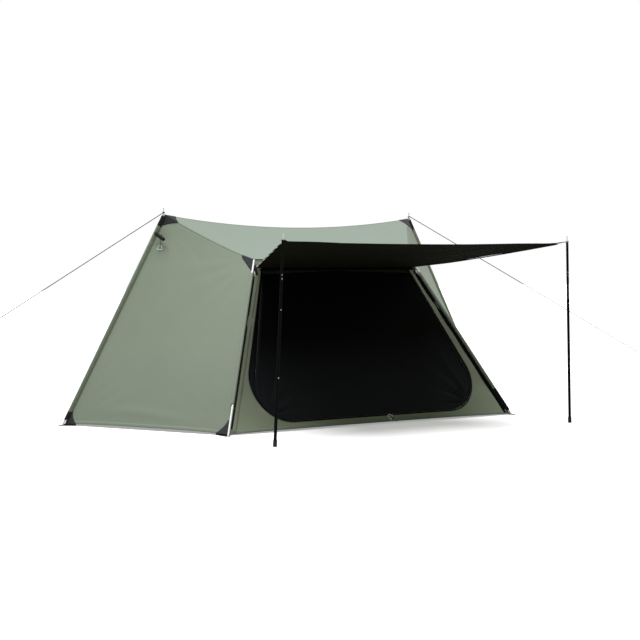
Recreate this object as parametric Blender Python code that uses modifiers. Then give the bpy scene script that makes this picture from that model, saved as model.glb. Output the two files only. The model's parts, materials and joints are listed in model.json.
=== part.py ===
"""Lodge tent with a hexagonal floor, a sagging ridge, sleeved frame poles and a door flap raised as an awning.

Everything is in metres, +Z up. Points are written from the middle of the tent's floor, under the ridge, with the
front at -Y. The empty named tent carries them all, moved so that the origin is under the middle of the whole.
"""
import math

import bmesh
import bpy
from mathutils import Matrix, Vector

# Cloth body
RIDGE_HALF = 1.171
RIDGE_HEIGHT = 1.600
RIDGE_SAG = 0.088
SHOULDER_HALF = 0.735
SHOULDER_REACH = 0.635
SHOULDER_HEIGHT = 1.246
CORNER_HALF = 1.294
CORNER_REACH = 1.235
SIDE_HALF = 2.021
ROOF_SEAM_SAG = 0.015
SIDE_HEM_RISE = 0.032
END_HEM_RISE = 0.016
HEM_HEIGHT = 0.007
CLOTH = 0.002

# Running and sewing clearances
GAP = 0.0003
OVERLAY_LIFT = 0.0009

# Doorway and mesh door: down the slope from the shoulders, up it from the ground, and in from the poles
DOOR_DROP = 0.0916
DOOR_SILL = 0.072
DOOR_TOP_INSET = 0.092
DOOR_FOOT_INSET = 0.185
DOOR_FOOT_RADIUS = 0.250
DOOR_CLEARANCE = 0.0008

# Zips
TAPE_WIDTH = 0.009
TAPE = 0.0012
TRACK_INSET = 0.019
TRACK_FOOT = 0.040
TRACK_HEAD = 1.300
SLIDER_LENGTH = 0.022
SLIDER_WIDTH = 0.010
SLIDER_HEIGHT = 0.005
DOOR_SLIDER_REST = 0.470
AWNING_SLIDER_REST = 1.270

# Reinforcement patches
PATCH = 0.0012
PEAK_PATCH = 0.125
SHOULDER_PATCH = 0.095
SHOULDER_PATCH_ROOF = 0.018
GROUND_PATCH_UP = 0.150
GROUND_PATCH_SIDE = 0.105
GROUND_PATCH_END = 0.012
TONGUE_LENGTH = 0.060
TONGUE_HALF = 0.017
TONGUE_STEP = 0.0005
TONGUE_LIFT = 0.0003
PEG_HOLE_RADIUS = 0.006

# Frame poles and sleeves
POLE_RADIUS = 0.0075
SLEEVE_FIT = 0.0004
SLEEVE_WALL = 0.0012
SLEEVE_END = 0.015
CORNER_SLEEVE_FOOT = 0.270
PIN_RADIUS = 0.0035
PIN_LENGTH = 0.044
PIN_COLLAR_RADIUS = 0.0072
PIN_COLLAR = 0.005

# Awning
HINGE_DROP = 0.066
HINGE_TUCK = 0.0008
AWNING_HINGE_HALF = 0.700
AWNING_HALF = 1.263
AWNING_REACH = 1.940
AWNING_HEIGHT = 1.384
AWNING_SAG = 0.028
AWNING_EDGE_CURVE = 0.035
AWNING_SIDE_CURVE = 0.020
TAB_OVERLAP = 0.050
TAB_REACH = 0.042
TAB_HALF = 0.013
TAB = 0.002

# Awning poles
FOOT_HALF = 1.318
FOOT_REACH = 1.923
FOOT_RADIUS = 0.014
FOOT_HEIGHT = 0.045
FOOT_FLOOR = 0.012
LOWER_RADIUS = 0.011
LOWER_WALL = 0.0012
LOWER_TOP = 0.950
UPPER_WALL = 0.0011
UPPER_INSERT = 0.130
TUBE_FIT = 0.0003
BUTTON_HEIGHT = 0.920
BUTTON_RADIUS = 0.003
BUTTON_PROUD = 0.0024
BUTTON_FIT = 0.0003
LOCK_HOLE_HEIGHTS = (1.127, 1.154)
AWNING_PIN_RADIUS = 0.004
AWNING_PIN_LENGTH = 0.045
TAB_HOLE_RADIUS = 0.0062
TUBE_END = 0.004

# Toggle and ring below the left peak
TOGGLE_DOWN = 0.150
TOGGLE_IN = 0.048
TOGGLE_LENGTH = 0.090
TOGGLE_RADIUS = 0.0065
TOGGLE_LIFT = 0.034
TOGGLE_CORD = 0.092
TOGGLE_SPOT = 0.036
TOGGLE_WRAP = 0.009
TOGGLE_SLOPE = 0.016
CORD_RISE = 0.004
CORD_TAIL = 0.008
CORD_RADIUS = 0.0018
RING_WIRE = 0.002
RING_WIDTH = 0.046
RING_DEPTH = 0.038

# Sill strap
STRAP_FOOT_X = 0.178
STRAP_HEAD_X = 0.142
STRAP_FOOT = 0.008
STRAP_HEAD = 0.037
STRAP_HALF = 0.006
STRAP = 0.0012
STRAP_TAIL = 0.014

# Guy lines and where they end
LINE_RADIUS = 0.00175
LINE_LOOP_RADIUS = 0.0074
LINE_EYE_RADIUS = 0.016
LEFT_LINE_END = (-2.696, -0.300, 0.800)
RIGHT_LINE_END = (3.581, -0.474, 0.336)


def linear(value):
    """sRGB channel, 0 to 255, as a linear value."""
    c = value / 255
    return c / 12.92 if c <= 0.04045 else ((c + 0.055) / 1.055) ** 2.4


def finish(name, rgb, roughness, metallic=0.0):
    """A Principled material from an sRGB colour."""
    material = bpy.data.materials.new(name)
    material.use_nodes = True
    shader = material.node_tree.nodes["Principled BSDF"]
    shader.inputs["Base Color"].default_value = (*(linear(c) for c in rgb), 1.0)
    shader.inputs["Roughness"].default_value = roughness
    shader.inputs["Metallic"].default_value = metallic
    return material


def clear_scene():
    for old in list(bpy.data.objects):
        bpy.data.objects.remove(old, do_unlink=True)


def collection(name):
    made = bpy.data.collections.new(name)
    bpy.context.scene.collection.children.link(made)
    return made


clear_scene()
PARTS = collection("lodge_tent")
CUTTERS = collection("cutters")
FLY = finish("fly_cloth", (139, 152, 132), 0.75)
WALL = finish("wall_cloth", (128, 140, 118), 0.75)
MESH = finish("door_mesh", (16, 17, 18), 0.9)
BLACK_WEB = finish("black_webbing", (34, 35, 36), 0.85)
LINING = finish("awning_cloth", (46, 50, 42), 0.8)
ALLOY = finish("pole_alloy", (205, 208, 210), 0.3, 1.0)
STEEL = finish("zinc_steel", (190, 192, 194), 0.25, 1.0)
BLACK_STEEL = finish("black_pole_coat", (38, 38, 38), 0.45, 0.3)
RUBBER = finish("foot_rubber", (24, 24, 24), 0.8)
PLASTIC = finish("black_plastic", (20, 20, 20), 0.5)
CORD = finish("guy_cord", (44, 46, 44), 0.8)


def empty(name, location, parent=None):
    made = bpy.data.objects.new(name, None)
    made.empty_display_size = 0.05
    made.location = location
    made.parent = parent
    PARTS.objects.link(made)
    return made


TENT = empty("tent", (0, 0, 0))


def place(thing, frame, carrier=TENT):
    """Stands an object in a frame of the tent, carried by the tent or by a joint's empty."""
    base = carrier.location if carrier is not TENT else Vector()
    thing.location = frame.to_translation() - base
    thing.rotation_euler = frame.to_euler()
    thing.parent = carrier
    return thing


def frame_on(origin, z_axis, x_hint):
    """A frame whose Z runs along z_axis and whose X is as near x_hint as it can be."""
    z = Vector(z_axis).normalized()
    x = Vector(x_hint)
    x = (x - z * x.dot(z)).normalized()
    made = Matrix((x, z.cross(x), z)).transposed().to_4x4()
    made.translation = origin
    return made


def add_mesh(name, bm, material, smooth=True, where=PARTS):
    mesh = bpy.data.meshes.new(name)
    bm.to_mesh(mesh)
    bm.free()
    thing = bpy.data.objects.new(name, mesh)
    where.objects.link(thing)
    if material:
        mesh.materials.append(material)
    if smooth:
        mesh.shade_smooth()
        mesh.set_sharp_from_angle(angle=math.radians(35))
    return thing


def solidify(thing, thickness):
    shell = thing.modifiers.new("thickness", "SOLIDIFY")
    shell.thickness = thickness
    shell.offset = 0
    shell.use_even_offset = True
    return thing


def sheet(name, columns, rows, at, thickness, material, carrier=TENT):
    """A grid laid over at(u, v), with u and v from 0 to 1, and given its thickness."""
    bm = bmesh.new()
    bmesh.ops.create_grid(bm, x_segments=columns, y_segments=rows, size=0.5)
    base = carrier.location if carrier is not TENT else Vector()
    for vert in bm.verts:
        vert.co = at(vert.co.x + 0.5, vert.co.y + 0.5) - base
    thing = add_mesh(name, bm, material)
    thing.location = base
    place(thing, Matrix.Translation(base), carrier)
    return solidify(thing, thickness)


def turned(name, profile, material, steps=16, closed=False, where=PARTS):
    """A profile of (radius, height) pairs, turned round Z."""
    bm = bmesh.new()
    ring = [bm.verts.new((r, 0, z)) for r, z in profile]
    for a, b in zip(ring, ring[1:] + ring[:1] if closed else ring[1:]):
        bm.edges.new((a, b))
    thing = add_mesh(name, bm, material, False, where)
    screw = thing.modifiers.new("turn", "SCREW")
    screw.axis = "Z"
    screw.steps = steps
    screw.render_steps = steps
    screw.use_merge_vertices = True
    screw.merge_threshold = 0.00001
    return thing


def flat(name, outlines, thickness, material):
    """A flat plate between closed outlines of (x, y) points, the first outside and any others holes."""
    curve = bpy.data.curves.new(name, "CURVE")
    curve.dimensions = "2D"
    curve.fill_mode = "BOTH"
    curve.extrude = thickness / 2
    for points in outlines:
        spline = curve.splines.new("POLY")
        spline.points.add(len(points) - 1)
        spline.use_cyclic_u = True
        for point, (x, y) in zip(spline.points, points):
            point.co = (x, y, 0, 1)
    thing = bpy.data.objects.new(name, curve)
    PARTS.objects.link(thing)
    curve.materials.append(material)
    return thing


def wire(name, points, radius, material, cyclic=False, resolution=2, where=PARTS):
    """A round wire or cord through points."""
    curve = bpy.data.curves.new(name, "CURVE")
    curve.dimensions = "3D"
    curve.bevel_depth = radius
    curve.bevel_resolution = resolution
    curve.use_fill_caps = not cyclic
    spline = curve.splines.new("POLY")
    spline.points.add(len(points) - 1)
    spline.use_cyclic_u = cyclic
    for point, p in zip(spline.points, points):
        point.co = (*p, 1)
    thing = bpy.data.objects.new(name, curve)
    where.objects.link(thing)
    if material:
        curve.materials.append(material)
    return thing


def meshed(thing):
    """The mesh of a curve object, welded at its caps, in the curve's place."""
    bpy.context.view_layer.update()
    seen = thing.evaluated_get(bpy.context.evaluated_depsgraph_get())
    mesh = bpy.data.meshes.new_from_object(seen)
    bm = bmesh.new()
    bm.from_mesh(mesh)
    bmesh.ops.remove_doubles(bm, verts=bm.verts, dist=0.00001)
    bm.to_mesh(mesh)
    bm.free()
    name, parent, where = thing.name, thing.parent, thing.users_collection[0]
    local = thing.matrix_local.copy()
    bpy.data.objects.remove(thing, do_unlink=True)
    made = bpy.data.objects.new(name, mesh)
    made.name = name
    where.objects.link(made)
    made.parent = parent
    made.location = local.to_translation()
    made.rotation_euler = local.to_euler()
    return made


def cylinder(name, radius, low, high, frame, carrier=TENT, material=None, sides=16, where=CUTTERS):
    """A cylinder along the frame's Z, from low to high."""
    bm = bmesh.new()
    bmesh.ops.create_cone(bm, cap_ends=True, segments=sides, radius1=radius, radius2=radius, depth=high - low)
    bmesh.ops.translate(bm, verts=bm.verts, vec=(0, 0, (high + low) / 2))
    made = place(add_mesh(name, bm, material, material is not None, where), frame, carrier)
    if where is CUTTERS:
        made.hide_render = True
        made.display_type = "WIRE"
    return made


def cut(thing, cutter, operation="DIFFERENCE"):
    boolean = thing.modifiers.new(cutter.name, "BOOLEAN")
    boolean.operation = operation
    boolean.solver = "EXACT"
    boolean.object = cutter
    cutter.hide_render = True
    cutter.display_type = "WIRE"
    return thing


# Named corners of the body. side is -1 on the left, end is -1 at the front.
def peak(side):
    return Vector((side * RIDGE_HALF, 0, RIDGE_HEIGHT))


def shoulder(side, end):
    return Vector((side * SHOULDER_HALF, end * SHOULDER_REACH, SHOULDER_HEIGHT))


def ground(side, end):
    if end == 0:
        return Vector((side * SIDE_HALF, 0, HEM_HEIGHT))
    return Vector((side * CORNER_HALF, end * CORNER_REACH, HEM_HEIGHT))


UP = Vector((0, 0, 1))


def seam(start, stop, sag=0.0, fullness=2):
    """The line of a seam, sagging between its ends. A high fullness turns up near the ends."""
    return lambda t: start.lerp(stop, t) - UP * (sag * (1 - abs(2 * t - 1) ** fullness))


def hem(start, stop, rise):
    return seam(start, stop, -rise, 4)


class Panel:
    """Cloth stretched between four seams that run round it, each starting where the last one ended."""

    def __init__(self, *seams):
        self.seams = seams
        self.corners = [s(0) for s in seams]

    def at(self, u, v):
        a, b, c, d = self.seams
        p, q, r, s = self.corners
        between = a(u) * (1 - v) + c(1 - u) * v + d(1 - v) * (1 - u) + b(v) * u
        return between - (p * (1 - u) * (1 - v) + q * u * (1 - v) + r * u * v + s * (1 - u) * v)

    def inside(self, edge, t, depth):
        """The point at t along a seam and depth metres in from it."""
        u, v = ((t, 0), (1, t), (1 - t, 1), (0, 1 - t))[edge]
        far = ((t, 1), (0, t), (1 - t, 0), (1, 1 - t))[edge]
        share = depth / (self.at(*far) - self.at(u, v)).length
        return self.at(u + (far[0] - u) * share, v + (far[1] - v) * share)

    def inward(self, edge, t):
        """The direction into the cloth, square to the seam, and how far a step along the weave gets that way."""
        step = 0.002
        here = self.inside(edge, t, 0)
        ahead, behind = self.inside(edge, min(t + 0.01, 1), 0), self.inside(edge, max(t - 0.01, 0), 0)
        along = (ahead - behind).normalized()
        move = self.inside(edge, t, step) - here
        square = move - along * move.dot(along)
        return square.normalized(), square.length / step, along

    def outward(self, u, v):
        """The unit normal on the outer face."""
        d = 0.01
        across = self.at(min(u + d, 1), v) - self.at(max(u - d, 0), v)
        down = self.at(u, min(v + d, 1)) - self.at(u, max(v - d, 0))
        normal = across.cross(down).normalized()
        away = self.at(u, v) - Vector((0, 0, 0.6))
        return normal if normal.dot(away) > 0 else -normal

    def outside(self, edge, t, depth, lift):
        """A point depth metres in from a seam, lifted off the outer face."""
        u, v = ((t, 0), (1, t), (1 - t, 1), (0, 1 - t))[edge]
        far = ((t, 1), (0, t), (1 - t, 0), (1, 1 - t))[edge]
        share = depth / (self.at(*far) - self.at(u, v)).length
        u, v = u + (far[0] - u) * share, v + (far[1] - v) * share
        return self.at(u, v) + self.outward(u, v) * lift


def side_panel(side, end):
    return Panel(
        seam(peak(side), shoulder(side, end), ROOF_SEAM_SAG),
        seam(shoulder(side, end), ground(side, end)),
        hem(ground(side, end), ground(side, 0), SIDE_HEM_RISE),
        seam(ground(side, 0), peak(side)),
    )


def roof_panel(end):
    return Panel(
        seam(peak(-1), peak(1), RIDGE_SAG),
        seam(peak(1), shoulder(1, end), ROOF_SEAM_SAG),
        seam(shoulder(1, end), shoulder(-1, end)),
        seam(shoulder(-1, end), peak(-1), ROOF_SEAM_SAG),
    )


def wall_panel(end):
    return Panel(
        seam(shoulder(-1, end), shoulder(1, end)),
        seam(shoulder(1, end), ground(1, end)),
        hem(ground(1, end), ground(-1, end), END_HEM_RISE),
        seam(ground(-1, end), shoulder(-1, end)),
    )


SIDES = {(side, end): side_panel(side, end) for side in (-1, 1) for end in (-1, 1)}
ROOFS = {end: roof_panel(end) for end in (-1, 1)}
WALLS = {end: wall_panel(end) for end in (-1, 1)}
SAMPLES = (0.03, 0.25, 0.5, 0.75, 0.97)
POLE_CLEAR = CLOTH / 2 + OVERLAY_LIFT + PATCH + GAP + POLE_RADIUS


def fold(first, first_edge, second, second_edge):
    """Where two panels meet: for each sample, the two inward directions. The seams run opposite ways or alike."""
    same = (first.inside(first_edge, 0, 0) - second.inside(second_edge, 0, 0)).length < 0.001
    pairs = []
    for t in SAMPLES:
        one = first.inward(first_edge, t)
        two = second.inward(second_edge, t if same else 1 - t)
        pairs.append((one, two))
    return pairs


def seam_margin(first, first_edge, second, second_edge):
    """How far the cloth's middle stays back from the seam line so that two thick edges lie a gap apart."""
    worst = 0.0
    for (one, *_), (two, *_) in fold(first, first_edge, second, second_edge):
        half = one.angle(two) / 2
        worst = max(worst, (CLOTH / 2 * math.cos(half) + GAP) / math.sin(half))
    return worst


ROOF_SEAM = seam_margin(SIDES[-1, -1], 0, ROOFS[-1], 3)
POLE_SEAM = seam_margin(SIDES[-1, -1], 1, WALLS[-1], 3)
SIDE_SEAM = seam_margin(SIDES[-1, -1], 3, SIDES[-1, 1], 3)
RIDGE_SEAM = seam_margin(ROOFS[-1], 0, ROOFS[1], 0)
EAVE_SEAM = seam_margin(ROOFS[-1], 2, WALLS[-1], 0)


def cloth(name, panel, margins, columns, rows, material):
    """A panel as a sheet that stays its margin back from each seam."""

    def back(edge, t):
        u, v = ((t, 0), (1, t), (1 - t, 1), (0, 1 - t))[edge]
        far = ((t, 1), (0, t), (1 - t, 0), (1, 1 - t))[edge]
        _, share, _ = panel.inward(edge, t)
        return margins[edge] / share / (panel.at(*far) - panel.at(u, v)).length

    def at(u, v):
        left, right = back(3, 1 - v), back(1, v)
        top, foot = back(0, u), back(2, 1 - u)
        return panel.at(left + (1 - left - right) * u, top + (1 - top - foot) * v)

    return sheet(name, columns, rows, at, CLOTH, material)


def wall_frame(end, lift=0.0):
    """The plane of an end wall: X across, Y up its slope from the ground line, Z out of its outer face."""
    foot = Vector((0, end * CORNER_REACH, HEM_HEIGHT))
    head = Vector((0, end * SHOULDER_REACH, SHOULDER_HEIGHT))
    slope = (head - foot).normalized()
    out = Vector((0, -slope.z, slope.y)) if end < 0 else Vector((0, slope.z, -slope.y))
    across = slope.cross(out)
    made = Matrix((across, slope, out)).transposed().to_4x4()
    made.translation = foot + out * lift
    return made


WALL_SLOPE = (shoulder(1, -1) - ground(1, -1))
WALL_LENGTH = math.hypot(WALL_SLOPE.y, WALL_SLOPE.z)
WALL_TAPER = (CORNER_HALF - SHOULDER_HALF) / WALL_LENGTH


DOOR_TOP = WALL_LENGTH - DOOR_DROP


def wall_half(up):
    """Half the wall's width at a height up its slope."""
    return CORNER_HALF - WALL_TAPER * up


DOOR_TOP_HALF = wall_half(DOOR_TOP) - DOOR_TOP_INSET
DOOR_SPREAD = (wall_half(DOOR_SILL) - DOOR_FOOT_INSET - DOOR_TOP_HALF) / (DOOR_TOP - DOOR_SILL)


def rounded(corners, radii, steps):
    """A closed outline with its corners turned to arcs, where they have a radius."""
    points = []
    for i, (corner, radius, count) in enumerate(zip(corners, radii, steps)):
        here = Vector(corner)
        if radius == 0:
            points.append(tuple(here))
            continue
        before = (Vector(corners[i - 1]) - here).normalized()
        after = (Vector(corners[(i + 1) % len(corners)]) - here).normalized()
        half = before.angle(after) / 2
        centre = here + (before + after).normalized() * (radius / math.sin(half))
        start = here + before * (radius / math.tan(half)) - centre
        stop = here + after * (radius / math.tan(half)) - centre
        turn = math.atan2(start.cross(stop), start.dot(stop))
        for k in range(count + 1):
            spoke = Matrix.Rotation(turn * k / count, 2) @ start
            points.append(tuple(centre + spoke))
    return points


def door_outline(grow=0.0):
    """The doorway's outline on the wall, grown or shrunk all round."""
    side = grow * math.hypot(1, DOOR_SPREAD)
    top, foot = DOOR_TOP + grow, DOOR_SILL - grow
    head = DOOR_TOP_HALF + side - DOOR_SPREAD * grow
    sill = DOOR_TOP_HALF + side + DOOR_SPREAD * (DOOR_TOP - foot)
    corners = ((-sill, foot), (sill, foot), (head, top), (-head, top))
    return rounded(corners, (DOOR_FOOT_RADIUS + grow, DOOR_FOOT_RADIUS + grow, 0, 0), (10, 10, 1, 1))


def below(outline, height):
    """A doorway outline with its two top corners slid along its sides to a height."""
    moved = []
    for x, y in outline[-2:]:
        moved.append((math.copysign(abs(x) + DOOR_SPREAD * (y - height), x), height))
    return [*outline[:-2], *moved]


def wall_outline():
    """An end wall's own outline: straight seams and a hem that rises a little between its corners."""
    inset = POLE_SEAM * math.hypot(1, WALL_TAPER)
    top = WALL_LENGTH - EAVE_SEAM
    points = [(wall_half(top) - inset, top), (-wall_half(top) + inset, top)]
    count = 8
    for k in range(count + 1):
        t = k / count
        up = END_HEM_RISE * (1 - abs(2 * t - 1) ** 4)
        half = wall_half(up) - inset
        points.append((-half + 2 * half * t, up))
    return points


def build_body():
    names = {-1: "front", 1: "rear"}
    for (side, end), panel in SIDES.items():
        hand = "left" if side < 0 else "right"
        margins = (ROOF_SEAM, POLE_SEAM, 0, SIDE_SEAM)
        cloth(f"side_{names[end]}_{hand}", panel, margins, 10, 12, FLY)
    for end, panel in ROOFS.items():
        cloth(f"roof_{names[end]}", panel, (RIDGE_SEAM, ROOF_SEAM, EAVE_SEAM, ROOF_SEAM), 16, 8, FLY)
    front = flat("front_wall", [wall_outline(), door_outline()], CLOTH, WALL)
    place(front, wall_frame(-1))
    place(flat("rear_wall", [wall_outline()], CLOTH, WALL), wall_frame(1))


def build_patches():
    """Patches sewn over the corners, following the panels that they join."""
    lift = CLOTH / 2 + OVERLAY_LIFT + PATCH / 2
    for side, hand in ((-1, "left"), (1, "right")):
        peak_patch(f"peak_patch_{hand}", side, lift)
        for end, name in ((-1, "front"), (1, "rear")):
            shoulder_patch(f"shoulder_patch_{name}_{hand}", side, end, lift)
            ground_patch(f"ground_patch_{name}_{hand}", side, end, lift)
        ground_patch(f"ground_patch_side_{hand}", side, 0, lift)


def spread(direction):
    """A point on the border of the unit square, from one side (0) round its corner to the other (1)."""
    return (1.0, 2 * direction) if direction < 0.5 else (2 - 2 * direction, 1.0)


def peak_point(side, turn, reach, lift):
    """A point on the cap round a peak. turn runs 0 to 4 over front roof, front side, rear side and rear roof."""
    turn %= 4
    quarter = int(turn)
    a, b = spread(turn - int(turn))
    seam_way = (shoulder(side, 1) - peak(side)).length
    pole_way = (peak(side) - ground(side, 0)).length
    if quarter in (0, 3):
        panel = ROOFS[-1 if quarter == 0 else 1]
        along, down = (a, b) if quarter == 0 else (b, a)
        u = reach * along / (2 * RIDGE_HALF)
        v = reach * down / seam_way
        u = u if side < 0 else 1 - u
    else:
        panel = SIDES[side, -1 if quarter == 1 else 1]
        seam_part, pole_part = (a, b) if quarter == 1 else (b, a)
        u = reach * seam_part / seam_way
        v = reach * pole_part / pole_way
    return panel.at(u, v) + panel.outward(max(u, 0.02) if u < 0.5 else min(u, 0.98), max(v, 0.02)) * lift


def peak_patch(name, side, lift):
    """A square-cornered cap over the four panels that meet at a peak."""
    around = 16
    bm = bmesh.new()
    bmesh.ops.create_circle(bm, cap_ends=True, cap_tris=True, segments=around, radius=1)
    for vert in bm.verts:
        if vert.co.length < 0.5:
            vert.co = peak(side) + peak_offset(side, lift)
            continue
        turn = (math.atan2(vert.co.y, vert.co.x) / math.tau % 1.0) * 4
        turn = round(turn * around / 4) * 4 / around
        beside = [peak_point(side, turn + d, PEAK_PATCH, lift) for d in (-1e-6, 1e-6)]
        middle = (beside[0] + beside[1]) / 2
        on_seam = abs(turn - round(turn)) < 1e-6
        if on_seam:
            base = (peak_point(side, turn - 1e-6, PEAK_PATCH, 0) + peak_point(side, turn + 1e-6, PEAK_PATCH, 0)) / 2
            off = middle - base
            middle = base + off * (lift * lift / max(off.length_squared, 1e-12))
        vert.co = middle
    solidify(place(add_mesh(name, bm, BLACK_WEB), Matrix(), TENT), PATCH)


def peak_offset(side, lift):
    """From the peak to where the outer faces of the four panels, lifted alike, would meet."""
    flank = SIDES[side, -1].outward(0, 0)
    roof = ROOFS[-1].outward(0 if side < 0 else 1, 0)
    matrix = Matrix(((flank.x, flank.z), (roof.x, roof.z)))
    x, z = matrix.inverted() @ Vector((lift, lift))
    return Vector((x, 0, z))


def across_fold(one, two, lift):
    """Where the outer faces of two panels meet at a seam, from their inward directions."""
    out = -(one[0] + two[0]).normalized()
    half = one[0].angle(two[0]) / 2
    return out * (lift / math.sin(half))


def saddle(first, first_edge, second, second_edge, flip_first, flip_second, up, widths, lift):
    """at(u, v) for a patch over a fold: u runs across it, v along it from the corner."""

    def at(u, v):
        q = 2 * u - 1
        t_first = v * up / first_length
        t_first = 1 - t_first if flip_first else t_first
        t_second = v * up / first_length
        t_second = 1 - t_second if flip_second else t_second
        narrow = 1 - 0.8 * v
        if abs(q) < 1e-6:
            base = first.inside(first_edge, t_first, 0)
            return base + across_fold(first.inward(first_edge, t_first), second.inward(second_edge, t_second), lift)
        if q < 0:
            return first.outside(first_edge, t_first, -q * widths[0] * narrow, lift)
        return second.outside(second_edge, t_second, q * widths[1] * narrow, lift)

    ends = first.inside(first_edge, 0, 0), first.inside(first_edge, 1, 0)
    first_length = (ends[1] - ends[0]).length
    return at


def shoulder_patch(name, side, end, lift):
    """Over the roof seam at a shoulder, on the side panel and on the roof."""
    panel, roof = SIDES[side, end], ROOFS[end]
    roof_edge = 3 if side < 0 else 1
    widths = (SHOULDER_PATCH, SHOULDER_PATCH_ROOF)
    at = saddle(panel, 0, roof, roof_edge, True, side > 0, SHOULDER_PATCH, widths, lift)
    sheet(name, 6, 3, at, PATCH, BLACK_WEB)


def ground_patch(name, side, end, lift):
    """Over the pole seam at a ground corner, with a tongue that lies on the ground and takes the peg."""
    if end == 0:
        first, first_edge, flip_first = SIDES[side, -1], 3, False
        second, second_edge, flip_second = SIDES[side, 1], 3, False
        widths = (GROUND_PATCH_SIDE, GROUND_PATCH_SIDE)
    else:
        first, first_edge, flip_first = SIDES[side, end], 1, True
        second, second_edge, flip_second = WALLS[end], 3 if side < 0 else 1, side > 0
        widths = (GROUND_PATCH_SIDE, GROUND_PATCH_END)
    over = saddle(first, first_edge, second, second_edge, flip_first, flip_second, GROUND_PATCH_UP, widths, lift)
    corner = ground(side, end)
    out = corner_out(side, end)
    lateral = UP.cross(out)
    if lateral.dot(over(1, 0) - over(0, 0)) < 0:
        lateral = -lateral
    rows, tongue_rows = 4, 2
    total = rows + tongue_rows

    def at(u, v):
        row = v * total
        if row >= tongue_rows - 1e-6:
            return over(u, (row - tongue_rows) / rows)
        hem_point = over(u, 0)
        if row > 0.5:
            step = hem_point + out * TONGUE_STEP
            return Vector((step.x, step.y, TONGUE_LIFT + PATCH / 2))
        tip = corner + out * TONGUE_LENGTH + lateral * (2 * u - 1) * TONGUE_HALF
        return Vector((tip.x, tip.y, TONGUE_LIFT + PATCH / 2))

    made = sheet(name, 6, total, at, PATCH, BLACK_WEB)
    eye = corner + out * (TONGUE_LENGTH - 2 * PEG_HOLE_RADIUS)
    hole = cylinder(name + "_hole", PEG_HOLE_RADIUS, -0.01, 0.01, Matrix.Translation((eye.x, eye.y, 0)))
    cut(made, hole)


def corner_out(side, end):
    """The level direction out of a ground corner, between the two walls that meet there."""
    if end == 0:
        return Vector((side, 0, 0))
    here, one, two = ground(side, end), ground(side, 0), ground(-side, end)
    return -((one - here).normalized() + (two - here).normalized()).normalized()


def pole_line(first, first_edge, second, second_edge, clear):
    """The axis of a pole that lies outside a seam, clear of both panels: its two ends, foot first."""
    pairs = fold(first, first_edge, second, second_edge)
    one, two = pairs[len(pairs) // 2]
    out = -(one[0] + two[0]).normalized()
    stand = 0.0
    for one, two in pairs:
        for inward, _, along in (one, two):
            normal = along.cross(inward).normalized()
            stand = max(stand, clear / abs(normal.dot(out)))
    ends = [first.inside(first_edge, t, 0) + out * stand for t in (0, 1)]
    return sorted(ends, key=lambda p: p.z)


def trimmed_pole(name, foot, head, low, high):
    """A round pole along a line, cut level at two heights."""
    axis = (head - foot).normalized()
    bm = bmesh.new()
    length = (head - foot).length
    bmesh.ops.create_cone(bm, cap_ends=True, segments=14, radius1=POLE_RADIUS, radius2=POLE_RADIUS, depth=length + 0.2)
    bmesh.ops.translate(bm, verts=bm.verts, vec=(0, 0, length / 2))
    frame = frame_on(foot, axis, (0, 1, 0))
    bmesh.ops.transform(bm, matrix=frame, verts=bm.verts)
    for level, normal in ((low, -UP), (high, UP)):
        every = bm.verts[:] + bm.edges[:] + bm.faces[:]
        bmesh.ops.bisect_plane(bm, geom=every, plane_co=(0, 0, level), plane_no=normal, clear_outer=True)
        rim = [e for e in bm.edges if e.is_boundary]
        bmesh.ops.contextual_create(bm, geom=rim)
    bmesh.ops.recalc_face_normals(bm, faces=bm.faces)
    return place(add_mesh(name, bm, ALLOY), Matrix())


def sleeve(name, foot, head, low, drop):
    """A fabric sleeve round a pole, open at both ends, from a height along it to a drop below the head."""
    bore = POLE_RADIUS + SLEEVE_FIT
    outer = bore + SLEEVE_WALL
    top = (head - foot).length - drop
    profile = ((outer, top), (outer, low), (bore, low), (bore, top))
    made = turned(name, profile, FLY, 14, closed=True)
    return place(made, frame_on(foot, head - foot, (0, 1, 0)))


def build_frame():
    """Six frame poles in their sleeves, standing on the tongues of the ground patches."""
    floor = TONGUE_LIFT + 1.3 * PATCH + GAP
    for side, hand in ((-1, "left"), (1, "right")):
        foot, head = pole_line(SIDES[side, -1], 3, SIDES[side, 1], 3, POLE_CLEAR)
        trimmed_pole(f"side_pole_{hand}", foot, head, floor, head.z)
        sleeve(f"side_sleeve_{hand}", foot, head, GROUND_PATCH_UP + SLEEVE_END, PEAK_PATCH + SLEEVE_END)
        peak_pin(f"peak_pin_{hand}", head + UP * GAP)
        for end, name in ((-1, "front"), (1, "rear")):
            wall_edge = 3 if side < 0 else 1
            foot, head = pole_line(SIDES[side, end], 1, WALLS[end], wall_edge, POLE_CLEAR)
            trimmed_pole(f"corner_pole_{name}_{hand}", foot, head, floor, head.z)
            sleeve(f"corner_sleeve_{name}_{hand}", foot, head, CORNER_SLEEVE_FOOT, SHOULDER_PATCH + SLEEVE_END)


def peak_pin(name, base):
    """A steel pin on a collar, standing on the end of a side pole."""
    tip = PIN_RADIUS * 0.6
    profile = (
        (0, PIN_COLLAR + PIN_LENGTH),
        (tip, PIN_COLLAR + PIN_LENGTH - tip / 2),
        (PIN_RADIUS, PIN_COLLAR + PIN_LENGTH - 2 * tip),
        (PIN_RADIUS, PIN_COLLAR),
        (PIN_COLLAR_RADIUS, PIN_COLLAR),
        (PIN_COLLAR_RADIUS, 0),
        (0, 0),
    )
    place(turned(name, profile, STEEL, 12), Matrix.Translation(base))


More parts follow.
